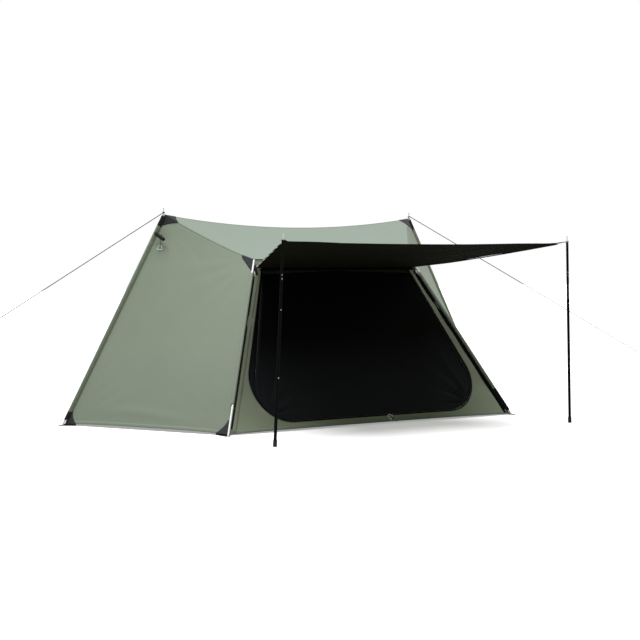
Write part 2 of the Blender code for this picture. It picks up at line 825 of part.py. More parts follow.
def build_door():
    """The mesh door, its zip, the tracks for the awning's zip, and the four sliders."""
    hinge_up = DOOR_TOP - CLOTH / 2 - DOOR_CLEARANCE
    frame = wall_frame(-1)
    hinge = empty("mesh_door_hinge", frame @ Vector((0, hinge_up, 0)), TENT)
    place(flat("mesh_door", [below(door_outline(-DOOR_CLEARANCE), hinge_up)], CLOTH, MESH), frame, hinge)
    tape_lift = CLOTH / 2 + GAP + TAPE / 2
    outer, inner = (below(door_outline(grow), DOOR_TOP) for grow in (TAPE_WIDTH, GAP))
    zip_tape = flat("door_zip", [[outer[-1], *outer[:-1], *reversed(inner[:-1]), inner[-1]]], TAPE, BLACK_WEB)
    place(zip_tape, wall_frame(-1, tape_lift))
    slider_lift = CLOTH / 2 + 2 * GAP + TAPE
    for side, hand in ((-1, "left"), (1, "right")):
        track = [(side * (wall_half(up) - TRACK_INSET + w), up)
                 for w, up in ((-TAPE_WIDTH / 2, TRACK_FOOT), (TAPE_WIDTH / 2, TRACK_FOOT),
                               (TAPE_WIDTH / 2, TRACK_HEAD), (-TAPE_WIDTH / 2, TRACK_HEAD))]
        place(flat(f"awning_zip_{hand}", [track], TAPE, BLACK_WEB), wall_frame(-1, tape_lift))
        side_x = DOOR_TOP_HALF + DOOR_SPREAD * (DOOR_TOP - DOOR_SLIDER_REST) + TAPE_WIDTH / 2
        slider(f"door_slider_{hand}", side, side_x, DOOR_SLIDER_REST, DOOR_SPREAD, slider_lift)
        slider(f"awning_slider_{hand}", side, wall_half(AWNING_SLIDER_REST) - TRACK_INSET,
               AWNING_SLIDER_REST, WALL_TAPER, slider_lift)


def slider(name, side, x, up, taper, lift):
    """A zip slider with its pull, pointing down its track."""
    frame = wall_frame(-1, lift)
    way = frame.to_3x3() @ Vector((-side * taper, 1, 0)).normalized()
    spot = frame @ Vector((side * x, up, 0))
    carrier = empty(name + "_slide", spot, TENT)
    bm = bmesh.new()
    bmesh.ops.create_cube(bm, size=1)
    bmesh.ops.scale(bm, vec=(SLIDER_WIDTH, SLIDER_LENGTH, SLIDER_HEIGHT), verts=bm.verts)
    bmesh.ops.translate(bm, vec=(0, 0, SLIDER_HEIGHT / 2), verts=bm.verts)
    out = frame.to_3x3() @ Vector((0, 0, 1))
    stand = Matrix((way.cross(out), way, out)).transposed().to_4x4()
    stand.translation = spot
    made = place(add_mesh(name, bm, STEEL), stand, carrier)
    bevel = made.modifiers.new("rounded", "BEVEL")
    bevel.width = SLIDER_HEIGHT * 0.3
    bevel.segments = 2


# The cloth runs a tuck past its hinge axis, which stands off the wall so that the edge turns clear of it
HINGE_STAND = CLOTH / 2 + math.hypot(CLOTH / 2, HINGE_TUCK) + GAP
AWNING_HINGE = wall_frame(-1, HINGE_STAND) @ Vector((0, WALL_LENGTH - HINGE_DROP, 0))


def awning_panel():
    """The raised door flap, from its hinge line on the wall to the outer edge between the poles."""
    tuck = (AWNING_HINGE - Vector((0, -AWNING_REACH, AWNING_HEIGHT))).normalized() * HINGE_TUCK
    hinge = [AWNING_HINGE + tuck + Vector((s * AWNING_HINGE_HALF, 0, 0)) for s in (-1, 1)]
    tips = [awning_corner(s) for s in (-1, 1)]
    back = Vector((0, 1, 0))

    def side(start, stop, inward):
        return lambda t: start.lerp(stop, t) + inward * (AWNING_SIDE_CURVE * 4 * t * (1 - t))

    def outer(t):
        bow = 4 * t * (1 - t)
        return tips[1].lerp(tips[0], t) + (back * AWNING_EDGE_CURVE - UP * AWNING_SAG) * bow

    left, right = Vector((1, 0, 0)), Vector((-1, 0, 0))
    return Panel(seam(*hinge), side(hinge[1], tips[1], right), outer, side(tips[0], hinge[0], left))


def awning_pin_spot(side):
    return Vector((side * AWNING_HALF, -AWNING_REACH, AWNING_HEIGHT))


def awning_corner(side):
    """The cloth's corner, a tab's reach short of the pin."""
    pin = awning_pin_spot(side)
    back = (Vector((0, AWNING_HINGE.y, AWNING_HINGE.z)) - pin).normalized()
    return pin + back * TAB_REACH


def tab_frame(side):
    """The middle plane of a tab: origin on the cloth's corner, X towards the pin, Z up."""
    panel = awning_panel()
    pin, corner = awning_pin_spot(side), awning_corner(side)
    out = panel.outward(0 if side < 0 else 1, 0.97)
    out = out if out.z > 0 else -out
    frame = frame_on(corner, out, (pin - corner).normalized())
    return frame @ Matrix.Translation((0, 0, CLOTH / 2 + OVERLAY_LIFT / 2 + TAB / 2))


def build_awning():
    hinge = empty("awning_hinge", AWNING_HINGE, TENT)
    panel = awning_panel()
    sheet("awning", 14, 8, panel.at, CLOTH, LINING, hinge)
    for side, hand in ((-1, "left"), (1, "right")):
        outline = rounded(
            ((-TAB_OVERLAP, -TAB_HALF), (TAB_REACH + TAB_HALF, -TAB_HALF),
             (TAB_REACH + TAB_HALF, TAB_HALF), (-TAB_OVERLAP, TAB_HALF)),
            (0.003, TAB_HALF - 0.001, TAB_HALF - 0.001, 0.003), (2, 5, 5, 2))
        hole = [(TAB_REACH + TAB_HOLE_RADIUS * math.cos(a), TAB_HOLE_RADIUS * math.sin(a))
                for a in (math.tau * k / 16 for k in range(16))]
        place(flat(f"awning_tab_{hand}", [outline, hole], TAB, BLACK_WEB), tab_frame(side), hinge)


def build_awning_poles():
    """Two telescoping poles with snap buttons. Heights are along the leaning pole, from the ground."""
    upper_radius = LOWER_RADIUS - LOWER_WALL - TUBE_FIT
    for side, hand in ((-1, "left"), (1, "right")):
        foot = Vector((side * FOOT_HALF, -FOOT_REACH, 0))
        tab = tab_frame(side)
        eye = tab @ Vector((TAB_REACH, 0, 0))
        frame = frame_on(foot, eye - foot, (1, 0, 0))
        lean = frame.to_3x3().col[2].angle(tab.to_3x3().col[2])
        length = (eye - foot).length
        top = length - TAB / 2 / math.cos(lean) - upper_radius * math.tan(lean) - GAP
        tilt = empty(f"{hand}_pole_tilt", foot - Vector((0, FOOT_RADIUS, 0)), TENT)
        bore = LOWER_RADIUS + GAP
        cup = turned(f"awning_foot_{hand}", (
            (0, FOOT_FLOOR), (bore, FOOT_FLOOR), (bore, FOOT_HEIGHT),
            (FOOT_RADIUS - 0.001, FOOT_HEIGHT), (FOOT_RADIUS, FOOT_HEIGHT - 0.002),
            (FOOT_RADIUS, -0.010), (0, -0.010)), RUBBER, 20)
        place(cup, frame, tilt)
        under = cylinder(f"foot_{hand}_under", 0.05, -0.05, 0, Matrix.Translation(foot), tilt)
        cut(cup, under)
        inner = LOWER_RADIUS - LOWER_WALL
        seat = FOOT_FLOOR + GAP
        lower = turned(f"lower_tube_{hand}", (
            (LOWER_RADIUS, LOWER_TOP), (LOWER_RADIUS, seat), (inner, seat), (inner, LOWER_TOP)),
            BLACK_STEEL, 18, closed=True)
        place(lower, frame, tilt)
        front = frame @ Matrix.Translation((0, 0, BUTTON_HEIGHT)) @ Matrix.Rotation(math.radians(90), 4, "X")
        cut(lower, cylinder(f"button_hole_{hand}", BUTTON_RADIUS + BUTTON_FIT, 0, 0.02, front, tilt))
        low = LOWER_TOP - UPPER_INSERT
        bore = upper_radius - UPPER_WALL
        upper = turned(f"upper_tube_{hand}", (
            (0, length + AWNING_PIN_LENGTH),
            (AWNING_PIN_RADIUS * 0.6, length + AWNING_PIN_LENGTH - 0.001),
            (AWNING_PIN_RADIUS, length + AWNING_PIN_LENGTH - 0.005),
            (AWNING_PIN_RADIUS, top), (upper_radius, top), (upper_radius, low),
            (bore, low), (bore, top - TUBE_END), (0, top - TUBE_END)), BLACK_STEEL, 18)
        place(upper, frame, tilt)
        for number, height in enumerate((BUTTON_HEIGHT, *LOCK_HOLE_HEIGHTS)):
            spot = frame @ Matrix.Translation((0, 0, height)) @ Matrix.Rotation(math.radians(90), 4, "X")
            hole = cylinder(f"lock_hole_{hand}_{number}", BUTTON_RADIUS + BUTTON_FIT, 0, 0.02, spot, tilt)
            cut(upper, hole)
        stem_in, stem_out = inner, LOWER_RADIUS + BUTTON_PROUD
        press = empty(f"{hand}_button_press", front.to_translation(), TENT)
        button = turned(f"snap_button_{hand}", (
            (0, stem_out), (BUTTON_RADIUS * 0.7, stem_out - 0.0006), (BUTTON_RADIUS, stem_out - 0.0016),
            (BUTTON_RADIUS, stem_in), (0, stem_in)), STEEL, 12)
        place(button, front, press)


def build_toggle():
    """A toggle on a short cord that ends in a triangle ring, hanging over the left front side panel."""
    panel = SIDES[-1, -1]
    pole_way = (peak(-1) - ground(-1, 0)).length
    top = 1 - TOGGLE_DOWN / pole_way
    start = panel.outside(3, top, TOGGLE_IN, 0)
    normal = (panel.outside(3, top, TOGGLE_IN, 1) - start).normalized()
    fall = (normal * normal.z - UP).normalized()
    square, _, along = panel.inward(3, top)

    def hang(distance, lift):
        """A point down the cloth from the cord's knot, lifted off it."""
        t = top + distance * fall.dot(along) / pole_way
        return panel.outside(3, t, TOGGLE_IN + distance * fall.dot(square), lift)

    hinge = empty("toggle_swing", start, TENT)
    low = CLOTH / 2 + OVERLAY_LIFT + CORD_RADIUS
    bend = RING_WIRE + GAP + CORD_RADIUS
    wrap = [(TOGGLE_CORD + bend * math.sin(a), low + bend * (1 - math.cos(a)))
            for a in (math.pi * k / 6 for k in range(7))]
    near, far = TOGGLE_SPOT - TOGGLE_WRAP, TOGGLE_SPOT + TOGGLE_WRAP
    route = [hang(d, h) - start for d, h in (
        (0, low), (near - TOGGLE_SLOPE, low + CORD_RISE), (near, TOGGLE_LIFT), (far, TOGGLE_LIFT),
        (far + TOGGLE_SLOPE, low + CORD_RISE), (TOGGLE_CORD - TOGGLE_SLOPE, low), *wrap,
        (TOGGLE_CORD - CORD_TAIL, low + 2 * bend))]
    cord = wire("toggle_cord_route", route, CORD_RADIUS, PLASTIC)
    cord.parent = hinge
    cord = meshed(cord)
    across = normal.cross(fall)
    rod_axis = (across * 0.82 + fall * 0.57).normalized()
    rod = cylinder("tie_toggle", TOGGLE_RADIUS, -TOGGLE_LENGTH / 2, TOGGLE_LENGTH / 2,
                   frame_on(hang(TOGGLE_SPOT, TOGGLE_LIFT), rod_axis, normal), hinge, PLASTIC, 12, PARTS)
    for old in list(cord.users_collection):
        old.objects.unlink(cord)
    CUTTERS.objects.link(cord)
    cut(rod, cord, "UNION")
    apex, base = hang(TOGGLE_CORD, low + bend), hang(TOGGLE_CORD + RING_DEPTH, low + RING_WIRE)
    triangle_ring("toggle_ring", apex, (base - apex).normalized(), across, hinge)


def triangle_ring(name, apex, down, across, carrier):
    """A wire ring, narrow at the cord and wide at the bar."""
    base = carrier.location
    half, narrow = RING_WIDTH / 2, RING_WIDTH * 0.16
    outline = rounded(((-narrow, 0), (narrow, 0), (half, RING_DEPTH), (-half, RING_DEPTH)),
                      (0.003, 0.003, 0.006, 0.006), (2, 2, 3, 3))
    points = [apex + across * x + down * y - base for x, y in outline]
    ring = wire(name, points, RING_WIRE, STEEL, cyclic=True)
    ring.parent = carrier
    return ring


def build_sill():
    """The strap on the sill, looped round the bar of its ring."""
    frame = wall_frame(-1, CLOTH / 2 + GAP + STRAP / 2)
    foot, head = Vector((STRAP_FOOT_X, STRAP_FOOT, 0)), Vector((STRAP_HEAD_X, STRAP_HEAD, 0))
    way = (head - foot).normalized()
    side = Vector((way.y, -way.x, 0))
    length = (head - foot).length
    bend = RING_WIRE + GAP + STRAP / 2
    loop = [(length + bend * math.sin(a), bend * (1 - math.cos(a))) for a in (math.pi * k / 6 for k in range(7))]
    profile = [(0, 0), (length * 0.5, 0), *loop, (length - STRAP_TAIL, 2 * bend)]

    def at(u, v):
        along, rise = profile[round(v * (len(profile) - 1))]
        return frame @ (foot + way * along + side * (2 * u - 1) * STRAP_HALF + Vector((0, 0, rise)))

    sheet("sill_strap", 1, len(profile) - 1, at, STRAP, BLACK_WEB)
    bar = frame @ (head + Vector((0, 0, bend)))
    hinge = empty("sill_ring_hinge", bar, TENT)
    turn = frame.to_3x3()
    triangle_ring("sill_ring", bar + turn @ way * RING_DEPTH, turn @ -way, turn @ side, hinge)


def build_lines():
    """Guy lines: a turn round each peak pin, a straight run, and an eye at the end."""
    for side, hand, spot in ((-1, "left", LEFT_LINE_END), (1, "right", RIGHT_LINE_END)):
        _, head = pole_line(SIDES[side, -1], 3, SIDES[side, 1], 3, POLE_CLEAR)
        turn_height = head.z + GAP + PIN_COLLAR + LINE_RADIUS + GAP
        end = Vector(spot)
        centre = Vector((head.x, 0, turn_height))
        heading = Vector((end.x - centre.x, end.y, 0)).normalized()
        across = UP.cross(heading) * -side
        count = 12
        points = []
        for k in range(count + 1):
            a = math.tau * k / count
            spoke = across * math.cos(a) - heading * math.sin(a)
            points.append(centre + spoke * LINE_LOOP_RADIUS + UP * (2.3 * LINE_RADIUS * k / count))
        start = points[-1]
        steps = 24
        points += [start.lerp(end, k / steps) for k in range(1, steps + 1)]
        run = (end - start).normalized()
        drop = run.cross(across).normalized()
        drop = drop if drop.z < 0 else -drop
        for k in range(1, 15):
            a = math.tau * 0.93 * k / 14
            spoke = run * math.sin(a) + drop * (1 - math.cos(a))
            shift = across * (2.4 * LINE_RADIUS * k / 14)
            points.append(end + spoke * LINE_EYE_RADIUS + shift)
        line = wire(f"guy_line_{hand}", points, LINE_RADIUS, CORD)
        line.parent = TENT
        length = sum((b - a).length for a, b in zip(points, points[1:]))
        print(f"guy_line_{hand} is {length:.3f} m long and starts at {tuple(round(c, 4) for c in points[0])}")


def centre_on_origin():
    """Moves the tent so that the origin is under the middle of everything but the guy lines."""
    bpy.context.view_layer.update()
    graph = bpy.context.evaluated_depsgraph_get()
    reach = []
    for thing in PARTS.objects:
        if thing.type == "EMPTY" or thing.name.startswith("guy_line"):
            continue
        seen = thing.evaluated_get(graph)
        mesh = seen.to_mesh()
        reach += [(thing.matrix_world @ vert.co).y for vert in mesh.vertices]
        seen.to_mesh_clear()
    TENT.location.y = -(min(reach) + max(reach)) / 2
    bpy.context.view_layer.update()
    print(f"ridge at y = {TENT.location.y:.5f}")
    for joint in TENT.children:
        if joint.type == "EMPTY":
            print(joint.name, tuple(round(c, 5) for c in joint.matrix_world.translation))


build_body()
build_patches()
build_frame()
build_door()
build_awning()
build_awning_poles()
build_toggle()
build_sill()
build_lines()
centre_on_origin()
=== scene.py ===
# %% [markdown]
# A lodge tent with a raised door flap
#
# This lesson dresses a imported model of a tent. The model gives the solid pieces and the bodies that they move
# with: the tent, its raised awning, the two telescoping awning poles, the mesh door and the zip sliders. The
# lesson adds what the eye looks for: thin cloth, seams, sleeves, webbing, zips, cords and their finishes. The
# frame is loaded first, and its box is kept, because the dressed tent has to stay inside it.

# %% Load the frame
import json
import math

import bmesh
import bpy
from mathutils import Matrix, Vector, noise
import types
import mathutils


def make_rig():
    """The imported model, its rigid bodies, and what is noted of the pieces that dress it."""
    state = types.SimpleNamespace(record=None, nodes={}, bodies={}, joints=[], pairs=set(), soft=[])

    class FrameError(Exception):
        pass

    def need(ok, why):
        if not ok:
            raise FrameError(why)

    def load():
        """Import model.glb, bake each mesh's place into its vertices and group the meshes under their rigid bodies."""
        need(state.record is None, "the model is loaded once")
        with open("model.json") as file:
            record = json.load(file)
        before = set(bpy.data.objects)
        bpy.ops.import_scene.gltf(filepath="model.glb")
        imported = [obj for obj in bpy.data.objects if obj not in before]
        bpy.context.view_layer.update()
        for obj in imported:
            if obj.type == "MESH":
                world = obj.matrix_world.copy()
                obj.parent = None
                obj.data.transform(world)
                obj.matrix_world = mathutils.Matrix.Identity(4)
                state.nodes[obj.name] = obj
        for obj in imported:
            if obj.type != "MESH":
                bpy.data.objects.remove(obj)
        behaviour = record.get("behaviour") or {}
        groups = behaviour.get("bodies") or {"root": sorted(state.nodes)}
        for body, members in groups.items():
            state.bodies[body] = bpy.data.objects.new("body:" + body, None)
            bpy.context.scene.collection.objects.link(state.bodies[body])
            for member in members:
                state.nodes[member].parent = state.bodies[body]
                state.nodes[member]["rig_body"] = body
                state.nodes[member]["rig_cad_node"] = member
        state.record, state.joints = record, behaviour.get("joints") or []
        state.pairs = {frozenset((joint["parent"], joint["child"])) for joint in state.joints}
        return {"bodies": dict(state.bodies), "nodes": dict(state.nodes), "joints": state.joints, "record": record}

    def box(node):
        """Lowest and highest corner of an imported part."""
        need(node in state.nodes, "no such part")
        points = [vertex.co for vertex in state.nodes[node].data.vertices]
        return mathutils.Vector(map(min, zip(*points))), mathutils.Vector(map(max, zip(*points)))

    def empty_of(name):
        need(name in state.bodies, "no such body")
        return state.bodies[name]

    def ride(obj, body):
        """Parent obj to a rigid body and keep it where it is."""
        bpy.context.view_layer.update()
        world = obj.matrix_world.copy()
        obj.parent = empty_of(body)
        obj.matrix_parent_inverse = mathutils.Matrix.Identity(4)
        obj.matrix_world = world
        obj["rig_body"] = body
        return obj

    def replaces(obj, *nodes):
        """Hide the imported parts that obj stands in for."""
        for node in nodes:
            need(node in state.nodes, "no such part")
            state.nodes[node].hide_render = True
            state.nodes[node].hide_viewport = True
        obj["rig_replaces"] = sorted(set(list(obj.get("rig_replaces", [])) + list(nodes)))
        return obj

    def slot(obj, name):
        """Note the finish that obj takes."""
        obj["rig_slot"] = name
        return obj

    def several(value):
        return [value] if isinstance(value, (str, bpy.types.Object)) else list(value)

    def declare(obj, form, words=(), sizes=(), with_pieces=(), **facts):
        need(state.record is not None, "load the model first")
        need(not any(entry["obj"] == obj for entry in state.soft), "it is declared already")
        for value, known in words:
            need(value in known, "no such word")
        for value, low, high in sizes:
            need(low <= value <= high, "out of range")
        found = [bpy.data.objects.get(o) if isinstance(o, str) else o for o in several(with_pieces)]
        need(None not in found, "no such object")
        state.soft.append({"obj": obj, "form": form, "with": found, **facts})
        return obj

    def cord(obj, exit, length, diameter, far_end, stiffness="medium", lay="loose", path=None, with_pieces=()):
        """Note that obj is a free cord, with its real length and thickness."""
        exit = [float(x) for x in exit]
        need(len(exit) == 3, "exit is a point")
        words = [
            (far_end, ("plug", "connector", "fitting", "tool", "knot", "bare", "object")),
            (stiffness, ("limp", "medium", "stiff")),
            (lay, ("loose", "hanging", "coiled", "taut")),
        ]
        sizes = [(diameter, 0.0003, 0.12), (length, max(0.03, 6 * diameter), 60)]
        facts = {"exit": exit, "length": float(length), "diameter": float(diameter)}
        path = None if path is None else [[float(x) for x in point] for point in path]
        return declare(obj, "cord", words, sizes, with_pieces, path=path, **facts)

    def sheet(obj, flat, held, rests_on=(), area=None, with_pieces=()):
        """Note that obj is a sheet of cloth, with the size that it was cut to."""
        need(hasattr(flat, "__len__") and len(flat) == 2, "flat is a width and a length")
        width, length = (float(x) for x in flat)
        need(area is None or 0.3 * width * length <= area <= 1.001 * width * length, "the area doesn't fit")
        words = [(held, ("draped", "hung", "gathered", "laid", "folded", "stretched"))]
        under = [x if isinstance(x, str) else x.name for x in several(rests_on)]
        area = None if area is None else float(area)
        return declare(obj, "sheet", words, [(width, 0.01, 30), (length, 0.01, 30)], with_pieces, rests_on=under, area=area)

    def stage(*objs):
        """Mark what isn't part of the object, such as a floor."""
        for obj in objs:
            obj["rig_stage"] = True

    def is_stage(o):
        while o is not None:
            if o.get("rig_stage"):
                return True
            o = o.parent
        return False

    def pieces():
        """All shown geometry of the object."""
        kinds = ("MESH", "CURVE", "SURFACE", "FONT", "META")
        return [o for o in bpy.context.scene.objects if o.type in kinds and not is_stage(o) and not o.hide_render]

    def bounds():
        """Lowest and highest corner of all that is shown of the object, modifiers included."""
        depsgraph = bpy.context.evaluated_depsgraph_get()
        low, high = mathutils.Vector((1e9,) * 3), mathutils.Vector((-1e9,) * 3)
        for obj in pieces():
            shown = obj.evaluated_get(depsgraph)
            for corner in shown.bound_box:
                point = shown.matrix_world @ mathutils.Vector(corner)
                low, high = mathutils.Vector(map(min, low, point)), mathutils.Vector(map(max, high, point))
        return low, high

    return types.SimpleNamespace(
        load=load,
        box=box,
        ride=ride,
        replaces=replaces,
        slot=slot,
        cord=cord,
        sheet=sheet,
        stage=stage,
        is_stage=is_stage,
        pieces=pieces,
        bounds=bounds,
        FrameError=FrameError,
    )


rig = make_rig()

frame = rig.load()
CAD_BOX = [list(corner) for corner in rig.bounds()]
print("frame box", [[round(c, 3) for c in corner] for corner in CAD_BOX])

# %% [markdown]
# The tent's own sizes
#
# A tent is cut from flat panels, and every panel runs between the same few points: two peaks, four shoulders,
# four ground corners and two side corners. These sizes are the real ones in metres, measured from the tent's
# middle under the ridge. Where the ridge stands in the frame is read from a side pole, which is in its plane.

# %% Sizes
RIDGE_HALF = 1.171
RIDGE_HEIGHT = 1.600
RIDGE_SAG = 0.088
SHOULDER_HALF = 0.735
SHOULDER_REACH = 0.635
SHOULDER_HEIGHT = 1.246
CORNER_HALF = 1.294
CORNER_REACH = 1.235
SIDE_HALF = 2.021
ROOF_SEAM_SAG = 0.015
SIDE_HEM_RISE = 0.014
END_HEM_RISE = 0.009
HEM_HEIGHT = 0.007
CLOTH = 0.0012
FRAME_CLOTH = 0.002
OVERLAY_LIFT = 0.0013
SIDES = {-1: "left", 1: "right"}
ENDS = {-1: "front", 1: "rear"}
RIDGE_Y = sum(corner.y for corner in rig.box("side_pole_left")) / 2
MIDDLE = Vector((0, RIDGE_Y, 0.6))
UP = Vector((0, 0, 1))
print("ridge stands at y =", round(RIDGE_Y, 4))

# %% [markdown]
# The camera
#
# The photograph is taken from the left of the door, a little above sitting height, with a long lens. A long lens
# keeps upright lines upright and makes the far awning pole nearly as tall as the near one. The place, the turn
# and the focal length come from matching the tent's corners to the picture, and there is no shift.

# %% Camera
CAMERA_SPOT = (-6.306, RIDGE_Y - 10.306, 1.284)
CAMERA_TURN = 32.532
CAMERA_DIP = 2.537
CAMERA_LENS = 82.07

camera_data = bpy.data.cameras.new("camera")
camera_data.lens = CAMERA_LENS
camera_data.clip_end = 200
camera = bpy.data.objects.new("camera", camera_data)
camera.location = CAMERA_SPOT
camera.rotation_euler = (math.radians(90 - CAMERA_DIP), 0, -math.radians(CAMERA_TURN))
bpy.context.scene.collection.objects.link(camera)
bpy.context.scene.camera = camera

# %% [markdown]
# Colours and nodes
#
# Every finish is a small network of shader nodes. Colours are written as the sRGB values that a colour picker
# shows, and one function turns them to the linear values that Blender's shaders work in. One more function adds
# a node: it takes the fixed settings, the values of its open sockets, and the sockets that feed it.


# %% Helpers for finishes
def linear(hex_colour):
    """An sRGB hex colour as linear red, green, blue and full alpha."""
    shares = [int(hex_colour[i:i + 2], 16) / 255 for i in (1, 3, 5)]
    return (*(s / 12.92 if s <= 0.04045 else ((s + 0.055) / 1.055) ** 2.4 for s in shares), 1.0)


def node(material, kind, values=None, links=None, **settings):
    """Adds a node with its settings, its fixed values and its links, and returns it."""
    made = material.node_tree.nodes.new(kind)
    for name, value in settings.items():
        setattr(made, name, value)
    for socket, value in (values or {}).items():
        made.inputs[socket].default_value = value
    for socket, source in (links or {}).items():
        material.node_tree.links.new(source, made.inputs[socket])
    return made


def new_finish(name, **constants):
    """A material with a Principled shader whose plain sockets are set, and its shader."""
    material = bpy.data.materials.new(name)
    material.use_nodes = True
    shader = material.node_tree.nodes["Principled BSDF"]
    for socket, value in constants.items():
        shader.inputs[socket.replace("_", " ")].default_value = value
    return material, shader


# %% [markdown]
# One way to make every soft piece
#
# Cloth, tape, straps, sleeves and cords are all rows of points joined by faces. So one function skins rows of
# points. It also stores what the finishes need: the weave map gives each point's place on the cloth in metres,
# and the border value its distance from the nearest cut edge, so that a row of stitches can follow the edge.


# %% Loft
NO_LENGTH = 0.00001
WELD = 0.000005


def distances(points):
    """The distance of each point from the first one, along the line."""
    total, out = 0.0, [0.0]
    for a, b in zip(points, points[1:]):
        total += (b - a).length
        out.append(total)
    return out


def loft(name, rows, finishes, thickness=0.0, wrap=False, weave=None, sharp=40):
    """A skin over rows of points. wrap closes each row into a loop, and a thickness makes the skin solid."""
    bm = bmesh.new()
    weave_map = bm.loops.layers.uv.new("weave")
    border = bm.verts.layers.float.new("border")
    grid = [[bm.verts.new(p) for p in row] for row in rows]
    across = [distances([*row, row[0]] if wrap else row) for row in rows]
    down = [distances([row[j] for row in rows]) for j in range(len(rows[0]))]
    for i, row in enumerate(grid):
        for j, vert in enumerate(row):
            edges = [down[j][i]] if across[0][-1] > NO_LENGTH else []
            edges += [down[j][-1] - down[j][i]] if across[-1][-1] > NO_LENGTH else []
            if not wrap:
                edges += [across[i][j], across[i][-1] - across[i][j]]
            vert[border] = min(edges, default=1.0)
    count = len(rows[0])
    for i in range(len(rows) - 1):
        for j in range(count if wrap else count - 1):
            corners = ((i, j), (i, j + 1), (i + 1, j + 1), (i + 1, j))
            face = bm.faces.new([grid[r][c % count] for r, c in corners])
            for loop, (r, c) in zip(face.loops, corners):
                loop[weave_map].uv = weave(rows[r][c % count])[:2] if weave else (across[r][c], down[c % count][r])
    bmesh.ops.remove_doubles(bm, verts=bm.verts, dist=WELD)
    mesh = bpy.data.meshes.new(name)
    bm.to_mesh(mesh)
    bm.free()
    piece = bpy.data.objects.new(name, mesh)
    bpy.context.scene.collection.objects.link(piece)
    for finish in finishes if isinstance(finishes, (list, tuple)) else [finishes]:
        mesh.materials.append(finish)
    mesh.shade_smooth()
    mesh.set_sharp_from_angle(angle=math.radians(sharp))
    if thickness:
        shell = piece.modifiers.new("cloth thickness", "SOLIDIFY")
        shell.thickness = thickness
        shell.offset = 0
        shell.use_even_offset = True
    return piece


def steps(count):
    """Even shares from 0 to 1."""
    return [k / count for k in range(count + 1)]


# %% [markdown]
# Tubes
#
# A cord, a zip's coil, a rolled hem and a wire ring are tubes. A tube is a loft whose rows are circles square to
# its path. Each circle is carried on from the last one with the least turn, so the tube never twists.


# %% Tube
def circles(points, radius, sides, closed):
    """Circles of points round a path, carried along it without twist."""
    count = len(points)
    normal = None
    out = []
    for k, here in enumerate(points):
        ahead = points[(k + 1) % count] if closed or k + 1 < count else here
        behind = points[k - 1] if closed or k else here
        way = (ahead - behind).normalized()
        if normal is None:
            normal = way.orthogonal().normalized()
        normal = (normal - way * normal.dot(way)).normalized()
        side = way.cross(normal)
        size = radius(k / (count - 1)) if callable(radius) else radius
        out.append([here + (normal * math.cos(a) + side * math.sin(a)) * size
                    for a in (math.tau * j / sides for j in range(sides))])
    return out


def tube(name, points, radius, finish, sides=10, closed=False):
    """A round tube through points, with closed ends. radius is a size or a function of the share along it."""
    points = [Vector(p) for p in points]
    rows = circles(points, radius, sides, closed)
    if closed:
        rows.append(rows[0])
    else:
        rows = [[points[0]] * sides, *rows, [points[-1]] * sides]
    return loft(name, rows, finish, wrap=True, sharp=60)


# %% [markdown]
# Braided cord
#
# Guy line is a round braid of polyester, here 6 mm thick, with a grey tracer among its black strands. Each strand
# of the braid shows as a slanted fleck, some 3 mm long. Two sets of slanted waves, one for each way that the
# strands run, give the flecks and their bumps. The tracer is drawn some four times as long as the real one, so
# that it shows as the grey dashes that the photograph has.


# %% Cord finish
def braided_cord(name, dark, pale, strand, tracer):
    """A braid of slanted strands, with a pale dash in every two tracer lengths."""
    material, shader = new_finish(name, Roughness=0.75, Sheen_Weight=0.15)
    weave = node(material, "ShaderNodeUVMap", uv_map="weave")
    place = node(material, "ShaderNodeSeparateXYZ", links={0: weave.outputs[0]})
    slants = []
    for way in (1, -1):
        run = node(material, "ShaderNodeMath", {1: way}, {0: place.outputs[0]}, operation="MULTIPLY")
        total = node(material, "ShaderNodeMath", links={0: place.outputs[1], 1: run.outputs[0]}, operation="ADD")
        turn = node(material, "ShaderNodeMath", {1: math.tau / strand}, {0: total.outputs[0]}, operation="MULTIPLY")
        slants.append(node(material, "ShaderNodeMath", links={0: turn.outputs[0]}, operation="SINE"))
    braid = node(material, "ShaderNodeMath", links={0: slants[0].outputs[0], 1: slants[1].outputs[0]},
                 operation="MULTIPLY")
    beat = node(material, "ShaderNodeMath", {1: tracer}, {0: place.outputs[1]}, operation="PINGPONG")
    share = node(material, "ShaderNodeMapRange", {1: tracer * 0.70, 2: tracer * 0.84}, {0: beat.outputs[0]})
    colour = node(material, "ShaderNodeMix", {6: linear(dark), 7: linear(pale)}, {0: share.outputs[0]},
                  data_type="RGBA")
    bump = node(material, "ShaderNodeBump", {"Strength": 0.6, "Distance": 0.0004}, {"Height": braid.outputs[0]})
    links = material.node_tree.links
    links.new(colour.outputs[2], shader.inputs["Base Color"])
    links.new(bump.outputs[0], shader.inputs["Normal"])
    return material


GUY_CORD = braided_cord("polyester_guy_cord", "#060606", "#1E1F1F", 0.003, 0.018)

# %% [markdown]
# Guy lines
#
# One line leaves each peak: a turn round the steel pin, a straight run, and an eye tied at its end. The
# photograph cuts both lines off, and something outside it holds them taut, so each ends in its eye just past
# the picture's edge. The route is the frame's own: its points follow from the pin and from the eye's place.

